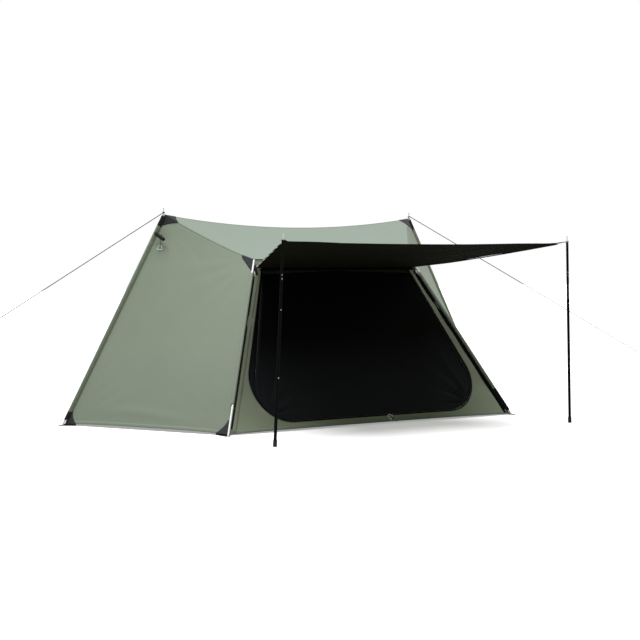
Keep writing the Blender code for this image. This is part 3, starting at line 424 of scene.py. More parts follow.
# %% Guy lines
LINE_RADIUS = 0.0030
LINE_LOOP_RADIUS = 0.0087
LINE_EYE_RADIUS = 0.016
PIN_COLLAR = 0.005
GAP = 0.0003
LINE_ENDS = {-1: Vector((-2.696, RIDGE_Y - 0.300, 0.800)), 1: Vector((3.581, RIDGE_Y - 0.474, 0.336))}
LOOP_POINTS = 12
LOOP_RISE = 2.3 * LINE_RADIUS
RUN_POINTS = 24
EYE_POINTS = 14
EYE_TURN = 0.93
EYE_STEP = 2.4 * LINE_RADIUS
KNOT_GAP = 0.004
KNOT_PITCH = 0.0022
KNOT_TURNS = 5
KNOT_RADIUS = 2 * LINE_RADIUS
KNOT_CORD_RADIUS = 0.8 * LINE_RADIUS


def guy_route(side):
    """The line's points: the turn on the pin, the run, and the eye."""
    low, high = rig.box(f"peak_pin_{SIDES[side]}")
    centre = Vector(((low.x + high.x) / 2, RIDGE_Y, low.z + PIN_COLLAR + LINE_RADIUS + GAP))
    end = LINE_ENDS[side]
    heading = Vector((end.x - centre.x, end.y - RIDGE_Y, 0)).normalized()
    across = UP.cross(heading) * -side
    route = []
    for k in range(LOOP_POINTS + 1):
        a = math.tau * k / LOOP_POINTS
        spoke = across * math.cos(a) - heading * math.sin(a)
        route.append(centre + spoke * LINE_LOOP_RADIUS + UP * (LOOP_RISE * k / LOOP_POINTS))
    start = route[-1]
    route += [start.lerp(end, k / RUN_POINTS) for k in range(1, RUN_POINTS + 1)]
    run = (end - start).normalized()
    drop = run.cross(across).normalized()
    drop = drop if drop.z < 0 else -drop
    for k in range(1, EYE_POINTS + 1):
        a = math.tau * EYE_TURN * k / EYE_POINTS
        spoke = run * math.sin(a) + drop * (1 - math.cos(a))
        route.append(end + spoke * LINE_EYE_RADIUS + across * (EYE_STEP * k / EYE_POINTS))
    return route, end, run


for side, hand in SIDES.items():
    route, end, run = guy_route(side)
    length = distances(route)[-1]
    line = tube(f"guy_cord_{hand}", route, LINE_RADIUS, GUY_CORD, sides=10)
    side_way = run.orthogonal().normalized()
    third = run.cross(side_way)
    whips = []
    for k in range(LOOP_POINTS * KNOT_TURNS + 1):
        a = math.tau * k / LOOP_POINTS
        spoke = side_way * math.cos(a) + third * math.sin(a)
        whips.append(end - run * (KNOT_GAP + KNOT_PITCH * k / LOOP_POINTS) + spoke * KNOT_RADIUS)
    knot = tube(f"guy_knot_{hand}", whips, KNOT_CORD_RADIUS, GUY_CORD, sides=8)
    for piece in (line, knot):
        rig.ride(piece, "tent")
        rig.slot(piece, "guy_cord")
    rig.replaces(line, f"guy_line_{hand}")
    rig.cord(line, exit=route[0], length=length, diameter=2 * LINE_RADIUS, far_end="knot", stiffness="limp",
            lay="taut", path=route, with_pieces=[knot])
    print(f"{hand} guy line is {length:.3f} m long")

# %% [markdown]
# Panels between seams
#
# Cloth stretched between four seams takes a smooth saddle shape. A Coons patch gives just that surface: it
# blends the four border lines, so two panels that share a seam share it exactly. The same class answers the
# questions that trimming needs: where is a point some way in from a seam, and which way is out.


# %% Corners, seams and panels
def peak(side):
    """A peak of the tent."""
    return Vector((side * RIDGE_HALF, RIDGE_Y, RIDGE_HEIGHT))


def shoulder(side, end):
    """A shoulder, where roof, side and end wall meet."""
    return Vector((side * SHOULDER_HALF, RIDGE_Y + end * SHOULDER_REACH, SHOULDER_HEIGHT))


def ground(side, end):
    """A corner on the ground. end 0 is the one below the peak."""
    if end == 0:
        return Vector((side * SIDE_HALF, RIDGE_Y, HEM_HEIGHT))
    return Vector((side * CORNER_HALF, RIDGE_Y + end * CORNER_REACH, HEM_HEIGHT))


def seam(start, stop, sag=0.0, fullness=2):
    """A seam's line, sagging between its ends. A high fullness turns up near the ends."""
    return lambda t: start.lerp(stop, t) - UP * (sag * (1 - abs(2 * t - 1) ** fullness))


class Panel:
    """Cloth stretched between four seams that run round it, each starting where the last one ended."""

    def __init__(self, *seams):
        self.seams = seams
        self.corners = [s(0) for s in seams]

    def at(self, u, v):
        """The point at u along the first seam and v away from it."""
        a, b, c, d = self.seams
        p, q, r, s = self.corners
        between = a(u) * (1 - v) + c(1 - u) * v + d(1 - v) * (1 - u) + b(v) * u
        return between - (p * (1 - u) * (1 - v) + q * u * (1 - v) + r * u * v + s * (1 - u) * v)

    def out(self, u, v):
        """The unit normal on the outer face."""
        d = 0.01
        across = self.at(min(u + d, 1), v) - self.at(max(u - d, 0), v)
        down = self.at(u, min(v + d, 1)) - self.at(u, max(v - d, 0))
        normal = across.cross(down).normalized()
        return normal if normal.dot(self.at(u, v) - MIDDLE) > 0 else -normal

    def inside(self, edge, t, depth, lift=0.0):
        """A point at t along a seam, some depth in from it, lifted off the outer face."""
        u, v = ((t, 0), (1, t), (1 - t, 1), (0, 1 - t))[edge]
        far = ((t, 1), (0, t), (1 - t, 0), (1, 1 - t))[edge]
        share = depth / (self.at(*far) - self.at(u, v)).length
        u, v = u + (far[0] - u) * share, v + (far[1] - v) * share
        return self.at(u, v) + (self.out(u, v) * lift if lift else Vector())

    def inward(self, edge, t):
        """The direction into the cloth, square to the seam."""
        along = (self.inside(edge, min(t + 0.01, 1), 0) - self.inside(edge, max(t - 0.01, 0), 0)).normalized()
        move = self.inside(edge, t, 0.002) - self.inside(edge, t, 0)
        return (move - along * move.dot(along)).normalized()


def side_panel(side, end):
    return Panel(
        seam(peak(side), shoulder(side, end), ROOF_SEAM_SAG),
        seam(shoulder(side, end), ground(side, end)),
        seam(ground(side, end), ground(side, 0), -SIDE_HEM_RISE, 4),
        seam(ground(side, 0), peak(side)),
    )


def roof_panel(end):
    return Panel(
        seam(peak(-1), peak(1), RIDGE_SAG),
        seam(peak(1), shoulder(1, end), ROOF_SEAM_SAG),
        seam(shoulder(1, end), shoulder(-1, end)),
        seam(shoulder(-1, end), peak(-1), ROOF_SEAM_SAG),
    )


def wall_panel(end):
    return Panel(
        seam(shoulder(-1, end), shoulder(1, end)),
        seam(shoulder(1, end), ground(1, end)),
        seam(ground(1, end), ground(-1, end), -END_HEM_RISE, 4),
        seam(ground(-1, end), shoulder(-1, end)),
    )


SIDE_PANELS = {(side, end): side_panel(side, end) for side in SIDES for end in ENDS}
ROOF_PANELS = {end: roof_panel(end) for end in ENDS}
WALL_PANELS = {end: wall_panel(end) for end in ENDS}
print("side panel's pole seam is", round((peak(-1) - ground(-1, 0)).length, 3), "m long")

# %% [markdown]
# Pull lines
#
# Real tent cloth is never a perfect surface. From each corner that takes load, shallow folds fan out and die
# away, and above a hem the cloth is looser and waves a little. Both are a few millimetres high. They are worked
# out as a lift off the panel that fades to nothing at the seams, so the panels still meet.

# %% Fold heights
FOLD_REACH = 0.45
FOLD_START = 0.14
FOLD_HEIGHT = 0.0018
FOLD_COUNT = 5.5


def smooth_step(start, stop, x):
    """0 before start, 1 after stop, and a smooth turn between them."""
    share = min(1.0, max(0.0, (x - start) / (stop - start)))
    return share * share * (3 - 2 * share)


def loose(panel, u, v):
    """1 where the cloth can move, 0 along its seams and under the patches on its corners."""
    here = panel.at(u, v)
    fade = smooth_step(0.03, 0.2, 1 - max(abs(2 * u - 1), abs(2 * v - 1)))
    for corner in panel.corners:
        fade *= smooth_step(FOLD_START, 2 * FOLD_START, (here - corner).length)
    return fade


def pull_folds(panel, u, v, corners, height=FOLD_HEIGHT, reach=FOLD_REACH):
    """The lift of the folds that fan out from some of the panel's corners."""
    here, lift = panel.at(u, v), 0.0
    for k in corners:
        corner = panel.corners[k]
        arm, other = panel.corners[(k + 1) % 4] - corner, panel.corners[k - 1] - corner
        ray = here - corner
        if ray.length < 0.001:
            continue
        share = arm.angle(ray) / arm.angle(other)
        lift += height * math.exp(-ray.length / reach) * math.cos(math.tau * FOLD_COUNT * share + k)
    return lift


def ripple(point, size, height):
    """Slow, even unevenness of cloth, from smooth noise of that size."""
    return height * noise.noise(Vector(point) / size)


# %% [markdown]
# Tent cloth
#
# The body is a sage green polycotton: a matt plain weave with a soft, faintly hairy surface. Matt cloth needs a
# high roughness and a little sheen, and no mirror highlight. The thread spacing is about 0.5 mm, far under a
# pixel here, so the weave is drawn three times as coarse. Thicker threads, called slubs, make faint streaks a
# few centimetres long, and dyeing leaves slow clouds of tone. Two rows of stitches run beside every seam: real
# ones are 0.5 mm thick and 3 mm long, and they are drawn 1.2 mm thick and 8 mm long to show at all. Thin cloth lets
# some daylight through, so the inside isn't black: here a share of each shadow is left open, tinted like the cloth.
# The photograph's light grades the cloth by height more than these lamps do, so light and shade by height are painted
# into the colour: painted shade darkens the sides towards the ground, and the front wall is darkest half way up, with
# painted light at its foot. The front wall takes a darker, browner copy of the cloth as painted shade, and the roof a
# bluer copy as painted skylight.


# %% Woven cloth finish
SLUB_SCALES = ((18, 420, 1), (420, 18, 1))
STITCH_HALF = 0.0006
STITCH_BEAT = 0.006
STITCH_DASH = 0.0042
WEAVE_DEPTH = 0.0004
STITCH_DEPTH = 0.0005


def woven_cloth(name, colour, thread_colour, roughness=0.85, sheen=0.12, thread=0.0015, rows=(0.004, 0.011),
                contrast=1.0, gloss=0.25, passes=0.0, painted_shading=()):
    """A plain weave with slubs, clouds and rows of stitches. passes is the share of a shadow that stays open, and the
    last argument gives pairs of a height and a factor on the colour there: light and shade painted by height."""
    material, shader = new_finish(name, Roughness=roughness, Sheen_Weight=sheen, Sheen_Roughness=0.4,
                                  Specular_IOR_Level=gloss)
    weave = node(material, "ShaderNodeUVMap", uv_map="weave")
    place = node(material, "ShaderNodeSeparateXYZ", links={0: weave.outputs[0]})
    waves = []
    for axis in (0, 1):
        turn = node(material, "ShaderNodeMath", {1: math.pi / thread}, {0: place.outputs[axis]},
                    operation="MULTIPLY")
        waves.append(node(material, "ShaderNodeMath", links={0: turn.outputs[0]}, operation="SINE"))
    plain = node(material, "ShaderNodeMath", links={0: waves[0].outputs[0], 1: waves[1].outputs[0]},
                 operation="MULTIPLY")
    slubs = []
    for stretch in SLUB_SCALES:
        spread = node(material, "ShaderNodeMapping", {"Scale": stretch}, {0: weave.outputs[0]})
        slubs.append(node(material, "ShaderNodeTexNoise", {"Scale": 1.0, "Detail": 2.0}, {0: spread.outputs[0]}))
    slub = node(material, "ShaderNodeMath", links={0: slubs[0].outputs[0], 1: slubs[1].outputs[0]}, operation="ADD")
    where = node(material, "ShaderNodeTexCoord")
    cloud = node(material, "ShaderNodeTexNoise", {"Scale": 2.2, "Detail": 3.0, "Roughness": 0.55},
                 {0: where.outputs["Object"]})
    slow = node(material, "ShaderNodeMath", {1: 0.10 * contrast, 2: 0.95}, {0: cloud.outputs[0]},
                operation="MULTIPLY_ADD")
    fine = node(material, "ShaderNodeMath", {1: 0.07 * contrast, 2: 0.93}, {0: slub.outputs[0]},
                operation="MULTIPLY_ADD")
    tone = node(material, "ShaderNodeMath", links={0: slow.outputs[0], 1: fine.outputs[0]}, operation="MULTIPLY")
    # Painted light and shade: the colour is scaled by height through a ramp.
    if painted_shading:
        level = node(material, "ShaderNodeSeparateXYZ", links={0: where.outputs["Object"]})
        share = node(material, "ShaderNodeMapRange", {1: 0.0, 2: RIDGE_HEIGHT}, {0: level.outputs[2]})
        painted_shading_ramp = node(material, "ShaderNodeValToRGB", links={0: share.outputs[0]})
        stops = painted_shading_ramp.color_ramp.elements
        for stop, (height, factor) in ((stops[1], painted_shading[-1]), (stops[0], painted_shading[0])):
            stop.position, stop.color = height / RIDGE_HEIGHT, (factor, factor, factor, 1)
        for height, factor in painted_shading[1:-1]:
            stops.new(height / RIDGE_HEIGHT).color = (factor, factor, factor, 1)
        tone = node(material, "ShaderNodeMath", links={0: tone.outputs[0], 1: painted_shading_ramp.outputs[0]}, operation="MULTIPLY")
    dyed = node(material, "ShaderNodeVectorMath", {0: linear(colour)[:3]}, {3: tone.outputs[0]}, operation="SCALE")
    border = node(material, "ShaderNodeAttribute", attribute_name="border")
    stitch = None
    for distance in rows:
        line = node(material, "ShaderNodeMath", {1: distance, 2: STITCH_HALF}, {0: border.outputs["Fac"]},
                    operation="COMPARE")
        if stitch:
            line = node(material, "ShaderNodeMath", links={0: stitch.outputs[0], 1: line.outputs[0]},
                        operation="MAXIMUM")
        stitch = line
    run = node(material, "ShaderNodeMath", links={0: place.outputs[0], 1: place.outputs[1]}, operation="ADD")
    beat = node(material, "ShaderNodeMath", {1: STITCH_BEAT}, {0: run.outputs[0]}, operation="PINGPONG")
    dash = node(material, "ShaderNodeMath", {1: STITCH_DASH}, {0: beat.outputs[0]}, operation="LESS_THAN")
    sewn = node(material, "ShaderNodeMath", links={0: stitch.outputs[0], 1: dash.outputs[0]}, operation="MULTIPLY")
    seen = node(material, "ShaderNodeMix", {7: linear(thread_colour)},
                {0: sewn.outputs[0], 6: dyed.outputs[0]}, data_type="RGBA")
    height = node(material, "ShaderNodeMath", {1: 0.35}, {0: plain.outputs[0], 2: slub.outputs[0]},
                  operation="MULTIPLY_ADD")
    weave_bump = node(material, "ShaderNodeBump", {"Strength": 0.35, "Distance": WEAVE_DEPTH},
                      {"Height": height.outputs[0]})
    bump = node(material, "ShaderNodeBump", {"Strength": 0.7, "Distance": STITCH_DEPTH},
                {"Height": sewn.outputs[0], "Normal": weave_bump.outputs[0]})
    links = material.node_tree.links
    links.new(seen.outputs[2], shader.inputs["Base Color"])
    links.new(bump.outputs[0], shader.inputs["Normal"])
    if passes:
        shade_ray = node(material, "ShaderNodeLightPath")
        share = node(material, "ShaderNodeMath", {1: passes}, {0: shade_ray.outputs["Is Shadow Ray"]},
                     operation="MULTIPLY")
        clear = node(material, "ShaderNodeBsdfTransparent", {0: linear(colour)})
        both = node(material, "ShaderNodeMixShader", links={0: share.outputs[0], 1: shader.outputs[0],
                                                            2: clear.outputs[0]})
        links.new(both.outputs[0], material.node_tree.nodes["Material Output"].inputs["Surface"])
    return material


# The side cloth carries painted shade: darker towards the ground.
SAGE = woven_cloth("sage_polycotton", "#879280", "#78836F", passes=0.6, painted_shading=(
    (0.0, 0.74), (0.25, 0.79), (0.6, 0.88), (1.0, 0.95), (1.35, 1.0)))
# A lit copy of the cloth for the roof: bluer, as painted skylight, and without the side cloth's painted shade.
SKYLIT_ROOF_SAGE = woven_cloth("sage_polycotton_roof", "#879386", "#78836F", passes=0.6)
# A shaded copy of the cloth for the front wall: darker and browner as painted shade, darkest half way up, with painted
# light at its foot.
SHADED_WALL_SAGE = woven_cloth("sage_polycotton_wall_painted_shade", "#838B75", "#727A64", passes=0.6, painted_shading=(
    (0.0, 1.0), (0.12, 0.87), (0.3, 0.66), (0.65, 0.52), (0.95, 0.66), (1.15, 0.95)))
print("materials so far:", [m.name for m in bpy.data.materials][-2:])

# %% [markdown]
# Side panels and roof
#
# Four leaning side panels and two roof panels make the body. Each is one sheet cut to shape, stretched between
# its seams. The panel surface is sampled finely enough for the pull lines, and each sheet is declared with the
# size and area of its flat cut, which are those of the stretched panel, because this cloth hardly stretches.

# %% Body panels
SHEETS = []
HEM_FOLD = 0.007
HEM_FOLD_UP = 0.055
HEM_FOLD_WANDER = 0.012
HEM_FOLD_WIDTH = 0.022
HEM_WAVE = 0.002
BILLOW = 0.003


def sewn(piece, *replaced, body="tent", name="black_webbing"):
    """A sewn piece's body, its slot and the frame nodes that it stands for."""
    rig.ride(piece, body)
    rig.slot(piece, name)
    if replaced:
        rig.replaces(piece, *replaced)
    return piece


def flat_on(panel):
    """The weave map of a nearly flat panel: metres along and across its hem."""
    origin = panel.corners[3]
    along = (panel.corners[2] - origin).normalized()
    normal = panel.out(0.5, 0.5)
    up = normal.cross(along)
    return lambda p: ((p - origin).dot(along), (p - origin).dot(up))


def area_of(rows):
    """The area of a grid of points."""
    total = 0.0
    for low, high in zip(rows, rows[1:]):
        for a, b, c, d in zip(low, low[1:], high[1:], high):
            total += ((b - a).cross(c - a).length + (c - a).cross(d - a).length) / 2
    return total


def stretched(name, panel, columns, rows, lift, finish, replaced, slot):
    """A panel as one stretched sheet that stands for its frame node."""
    grid = [[panel.at(u, v) + panel.out(u, v) * lift(u, v) for u in steps(columns)] for v in steps(rows)]
    piece = sewn(loft(name, grid, finish, CLOTH, weave=flat_on(panel)), replaced, name=slot)
    wide = max(distances([panel.at(u, v) for u in steps(20)])[-1] for v in (0, 1))
    long = max(distances([panel.at(u, v) for v in steps(20)])[-1] for u in (0, 1))
    SHEETS.append((piece, (wide, long), min(area_of(grid), wide * long)))
    return piece


def side_lift(panel):
    """Folds from the peak, the shoulder and the ground corners, and a soft fold above the hem."""

    def lift(u, v):
        off_fold = (1 - v - HEM_FOLD_UP - HEM_FOLD_WANDER * math.sin(5 * u)) / HEM_FOLD_WIDTH
        fold = HEM_FOLD * math.exp(-off_fold ** 2) * math.sin(math.pi * u) ** 2
        wave = HEM_WAVE * math.sin(9 * u + 1.5) * math.exp(-(1 - v) * 5)
        billow = ripple(panel.at(u, v), 0.45, BILLOW)
        return (pull_folds(panel, u, v, (0, 1, 2, 3)) + fold + wave + billow) * loose(panel, u, v)

    return lift


def roof_lift(panel):
    """Folds from the two peaks, and slow unevenness."""
    return lambda u, v: ((pull_folds(panel, u, v, (0, 1), 0.001) + ripple(panel.at(u, v), 0.5, 0.0025))
                         * loose(panel, u, v))


for (side, end), panel in SIDE_PANELS.items():
    place = f"{ENDS[end]}_{SIDES[side]}"
    stretched(f"side_cloth_{place}", panel, 56, 72, side_lift(panel), SAGE, f"side_{place}", "fly_cloth")
for end, panel in ROOF_PANELS.items():
    stretched(f"roof_cloth_{ENDS[end]}", panel, 96, 40, roof_lift(panel), SKYLIT_ROOF_SAGE, f"roof_{ENDS[end]}", "fly_cloth")
print(len(SHEETS), "panels, the first", [round(s, 3) for s in SHEETS[0][1]], "m,", round(SHEETS[0][2], 3), "m2")

# %% [markdown]
# The doorway's outline
#
# The front wall is flat between its two sloping poles, so it is drawn in its own plane: X across, Y up the
# slope. The doorway is a trapezoid with a square head and two large rounded corners at its foot. Its size is
# given the way a sail maker would: how far down from the shoulders, up from the ground and in from the poles.
# A black band of the door's mesh runs round it, 1 cm wide at its head and foot and wider down the sides. It carries
# the zip, and what the eye takes for the doorway is the band's outer edge. The right side's band is narrower, which
# shows how the slack wall is drawn in there.

# %% Wall plane and doorway
DOOR_DROP = 0.0916
DOOR_SILL = 0.072
DOOR_TOP_INSET = 0.092
DOOR_FOOT_INSET = 0.185
DOOR_FOOT_RADIUS = 0.250
DOOR_CLEARANCE = 0.0008
BAND_SILL = 0.062
BAND_TOP_INSET = 0.078
BAND_FOOT_INSETS = {-1: 0.103, 1: 0.145}
BAND_RADII = {-1: 0.312, 1: 0.285}
BAND_RISE = 0.010
BAND_TUCK = 0.008
BAND_DEPTH = 0.0014
WALL_LENGTH = math.hypot(CORNER_REACH - SHOULDER_REACH, SHOULDER_HEIGHT - HEM_HEIGHT)
WALL_TAPER = (CORNER_HALF - SHOULDER_HALF) / WALL_LENGTH
DOOR_TOP = WALL_LENGTH - DOOR_DROP


def wall_half(up):
    """Half the wall's width at a height up its slope."""
    return CORNER_HALF - WALL_TAPER * up


DOOR_TOP_HALF = wall_half(DOOR_TOP) - DOOR_TOP_INSET
DOOR_SPREAD = (wall_half(DOOR_SILL) - DOOR_FOOT_INSET - DOOR_TOP_HALF) / (DOOR_TOP - DOOR_SILL)


def wall_frame(end=-1, lift=0.0):
    """The plane of an end wall: X across, Y up its slope from the ground line, Z out of its outer face."""
    foot = Vector((0, RIDGE_Y + end * CORNER_REACH, HEM_HEIGHT))
    head = Vector((0, RIDGE_Y + end * SHOULDER_REACH, SHOULDER_HEIGHT))
    slope = (head - foot).normalized()
    out = Vector((0, -slope.z, slope.y)) if end < 0 else Vector((0, slope.z, -slope.y))
    made = Matrix((slope.cross(out), slope, out)).transposed().to_4x4()
    made.translation = foot + out * lift
    return made


def rounded(corners, radii, count):
    """A closed outline with its corners turned to arcs, where they have a radius."""
    points = []
    for i, (corner, radius) in enumerate(zip(corners, radii)):
        here = Vector(corner)
        if radius == 0:
            points.append(here)
            continue
        before = (Vector(corners[i - 1]) - here).normalized()
        after = (Vector(corners[(i + 1) % len(corners)]) - here).normalized()
        half = before.angle(after) / 2
        centre = here + (before + after).normalized() * (radius / math.sin(half))
        start = here + before * (radius / math.tan(half)) - centre
        stop = here + after * (radius / math.tan(half)) - centre
        turn = math.atan2(start.cross(stop), start.dot(stop))
        points += [centre + Matrix.Rotation(turn * k / count, 2) @ start for k in range(count + 1)]
    return points


def door_outline(grow=0.0, count=24):
    """The doorway's outline on the wall, grown or shrunk all round: foot left, foot right, head right, head left."""
    side = grow * math.hypot(1, DOOR_SPREAD)
    top, foot = DOOR_TOP + grow, DOOR_SILL - grow
    head = DOOR_TOP_HALF + side - DOOR_SPREAD * grow
    sill = DOOR_TOP_HALF + side + DOOR_SPREAD * (DOOR_TOP - foot)
    corners = ((-sill, foot), (sill, foot), (head, top), (-head, top))
    return rounded(corners, (DOOR_FOOT_RADIUS + grow, DOOR_FOOT_RADIUS + grow, 0, 0), count)


def band_outline(grow=0.0, count=24):
    """The outer edge of the black band round the doorway, in the same order."""
    top, foot = DOOR_TOP + BAND_RISE + grow, BAND_SILL - grow
    halves = {}
    for side in SIDES:
        head = wall_half(DOOR_TOP) - BAND_TOP_INSET
        spread = (wall_half(BAND_SILL) - BAND_FOOT_INSETS[side] - head) / (DOOR_TOP - BAND_SILL)
        head += grow * math.hypot(1, spread)
        halves[side] = [side * (head + spread * (DOOR_TOP - up)) for up in (foot, top)]
    corners = ((halves[-1][0], foot), (halves[1][0], foot), (halves[1][1], top), (halves[-1][1], top))
    return rounded(corners, (BAND_RADII[-1] + grow, BAND_RADII[1] + grow, 0, 0), count)


print("doorway", round(2 * DOOR_TOP_HALF, 3), "m wide at its head and", round(DOOR_TOP - DOOR_SILL, 3),
      "m up the slope")

# %% [markdown]
# Plates with a hole
#
# The front wall is a sheet round a doorway, and a peg tab is a strap round an eyelet. Both are rings: rays from
# one middle point cross the inner outline and the outer one, and rows of points go from one to the other. The
# rays pass through every sharp corner, so that no corner is cut off.


# %% Ring between two outlines
def crossing(outline, centre, way):
    """Where a ray from a point inside an outline leaves it."""
    best = None
    for a, b in zip(outline, [*outline[1:], outline[0]]):
        edge = b - a
        bottom = way.x * edge.y - way.y * edge.x
        if abs(bottom) < 1e-12:
            continue
        t = ((a.x - centre.x) * edge.y - (a.y - centre.y) * edge.x) / bottom
        s = ((a.x - centre.x) * way.y - (a.y - centre.y) * way.x) / bottom
        if t > 0 and -1e-7 <= s <= 1 + 1e-7 and (best is None or t > best):
            best = t
    return centre + way * best


def between(inner, outer, centre, corners, spacing, count):
    """Rows of flat points from an inner outline to an outer one, along rays from a centre."""
    targets = [Vector(p) for p in corners]
    for a, b in zip(outer, [*outer[1:], outer[0]]):
        pieces = max(1, round((b - a).length / spacing))
        targets += [a.lerp(b, k / pieces) for k in range(pieces)]
    turns = sorted({round(math.atan2(p.y - centre.y, p.x - centre.x), 5) for p in targets})
    ways = [Vector((math.cos(turn), math.sin(turn))) for turn in turns]
    lines = [(crossing(inner, centre, way), crossing(outer, centre, way)) for way in ways]
    return [[a.lerp(b, share) for a, b in lines] for share in steps(count)]


# %% [markdown]
# Front wall
#
# The wall hangs straight from the eave to the ground, with a slightly raised hem between its corners. It is
# slack beside and below the doorway's band, where it gets a shallow ripple, and tight where it is sewn. So little
# is left round the band that it is a border sewn from strips, and its flat size is the strips' whole length and
# their mean width.


# %% Front and rear wall
DOOR_MIDDLE = Vector((0, 0.62))
RING_SPACING = 0.03
WALL_RIPPLE = 0.0016
WALL_UNEVEN = 0.003


def wall_outline(count=24):
    """An end wall's outline, from seam to seam, with its hem rising between the corners."""
    points = [Vector((wall_half(WALL_LENGTH), WALL_LENGTH)), Vector((-wall_half(WALL_LENGTH), WALL_LENGTH))]
    for t in steps(count):
        up = END_HEM_RISE * (1 - abs(2 * t - 1) ** 4)
        points.append(Vector((wall_half(up) * (2 * t - 1), up)))
    return points


def on_wall(frame, point, lift=0.0):
    """A flat point's place in space, on a wall's or a tab's plane or lifted off it."""
    return frame @ Vector((point.x, point.y, lift))


wall = wall_frame()
door, edge = band_outline(), wall_outline()
rings = between(door, edge, DOOR_MIDDLE, [*door[-2:], *edge[:3], edge[-1]], RING_SPACING, 8)
rows = []
for share, ring in zip(steps(8), rings):
    fade = math.sin(math.pi * share)
    rows.append([on_wall(wall, p, fade * (WALL_RIPPLE * math.sin(26 * p.y + 9 * p.x)
                                          + ripple((p.x, p.y, 0), 0.2, WALL_UNEVEN))) for p in ring])
front_wall = loft("wall_cloth_front", rows, SHADED_WALL_SAGE, CLOTH, wrap=True, weave=lambda p: wall.inverted() @ p)
sewn(front_wall, "front_wall", name="wall_cloth")


def declare_border(piece, rows):
    """Keeps a ring of cloth as the strips that it is sewn from: their middle line's length and mean width."""
    closed = [[*row, row[0]] for row in rows]
    girth = sum(distances(closed[k])[-1] for k in (0, -1)) / 2
    SHEETS.append((piece, (girth, area_of(closed) / girth), area_of(closed)))


declare_border(front_wall, rows)


def wall_lift(panel):
    """Folds from all four corners, and slow unevenness."""
    return lambda u, v: ((pull_folds(panel, u, v, (0, 1, 2, 3), 0.003) + ripple(panel.at(u, v), 0.4, 0.005))
                         * loose(panel, u, v))


stretched("wall_cloth_rear", WALL_PANELS[1], 64, 40, wall_lift(WALL_PANELS[1]), SAGE, "rear_wall", "wall_cloth")
print("front wall cloth", round(SHEETS[-2][2], 3), "m2")

# %% [markdown]
# Felled seams
#
# Where two panels join, the maker folds one edge over the other and sews it down with two rows of stitches. From
# outside this is a narrow raised strip, twice as thick as the cloth, and its thin shadow line is what shows where
# the panels meet. The strips lie on the roof seams, the ridge and the eaves, and every hem is turned up likewise.


# %% Seam strips
STRIP_WIDE = 0.010
STRIP_NARROW = 0.003
STRIP_LIFT = 0.0009
STRIP = 0.0004
HEM_WIDTH = 0.026


def over_fold(one, two, lift):
    """From a seam to where the outer faces of its two panels, lifted alike, would meet."""
    return -(one + two).normalized() * (lift / math.sin(one.angle(two) / 2))


def seam_strip(name, first, first_edge, second, second_edge, flip, count=40):
    """A felled strip over a seam, wide on the first panel. flip says that the two seams run opposite ways."""
    rows = []
    for t in steps(count):
        s = 1 - t if flip else t
        row = [first.inside(first_edge, t, STRIP_WIDE * share, STRIP_LIFT) for share in (1, 0.6, 0.25)]
        row.append(first.inside(first_edge, t, 0)
                   + over_fold(first.inward(first_edge, t), second.inward(second_edge, s), STRIP_LIFT))
        row.append(second.inside(second_edge, s, STRIP_NARROW, STRIP_LIFT))
        rows.append(row)
    sewn(loft(name, rows, SAGE, STRIP), name="fly_cloth")


def hem_strip(name, panel, count=40):
    """A turned hem along a panel's ground edge, on the outer face."""
    rows = [[panel.inside(2, t, HEM_WIDTH * share, STRIP_LIFT) for share in (0.01, 0.3, 0.65, 1)]
            for t in steps(count)]
    sewn(loft(name, rows, SAGE, STRIP), name="fly_cloth")


for (side, end), panel in SIDE_PANELS.items():
    place = f"{ENDS[end]}_{SIDES[side]}"
    seam_strip(f"roof_seam_{place}", panel, 0, ROOF_PANELS[end], 3 if side < 0 else 1, side < 0)
    hem_strip(f"side_hem_{place}", panel)
seam_strip("ridge_seam", ROOF_PANELS[-1], 0, ROOF_PANELS[1], 0, False)
for end, panel in WALL_PANELS.items():
    seam_strip(f"eave_seam_{ENDS[end]}", ROOF_PANELS[end], 2, panel, 0, True)
    hem_strip(f"wall_hem_{ENDS[end]}", panel)
print("seam strips", sum("_seam" in o.name for o in bpy.data.objects), "and hems",
      sum("_hem" in o.name for o in bpy.data.objects))

# %% [markdown]
# Black webbing and patches
#
# Each corner is doubled with a patch of heavy black nylon. Its weave is coarse, with ribs about 1 mm apart, and
# it keeps a faint soft shine, so its roughness is a little lower than the cloth's. Black nylon is really a very
# dark grey, and it looks black only beside the pale cloth.


# %% Webbing finish
WEBBING = woven_cloth("black_nylon_webbing", "#212324", "#3E4040", 0.66, 0.1, 0.0024, (0.0045,), 1.4)
TAPE_CLOTH = woven_cloth("zip_tape", "#121314", "#242526", 0.75, 0.08, 0.0016, (0.0022,), 1.2)
BLACK_CLOTH = woven_cloth("black_polyester", "#050505", "#0A0A0A", 0.9, 0.0, 0.0016, (0.0022,), 1.2, gloss=0.03)


# %% [markdown]
# Peak patches
#
# The cap on each peak follows four panels that meet there: two of the roof and two of the side. It is laid out
# in turns round the peak, one turn for each panel, and in rings from the peak to the cap's edge. The edge runs
# nearly straight from seam to seam, and it reaches furthest down the two roof seams.

# %% Peak patches
PATCH = 0.0008
PEAK_PATCH_SEAM = 0.128
PEAK_PATCH_RIDGE = 0.092
PEAK_PATCH_POLE = 0.100
PEAK_PATCH_BOW = 0.04
PATCH_LIFT = FRAME_CLOTH / 2 + OVERLAY_LIFT + PATCH / 2
PEAK_TURNS = 48


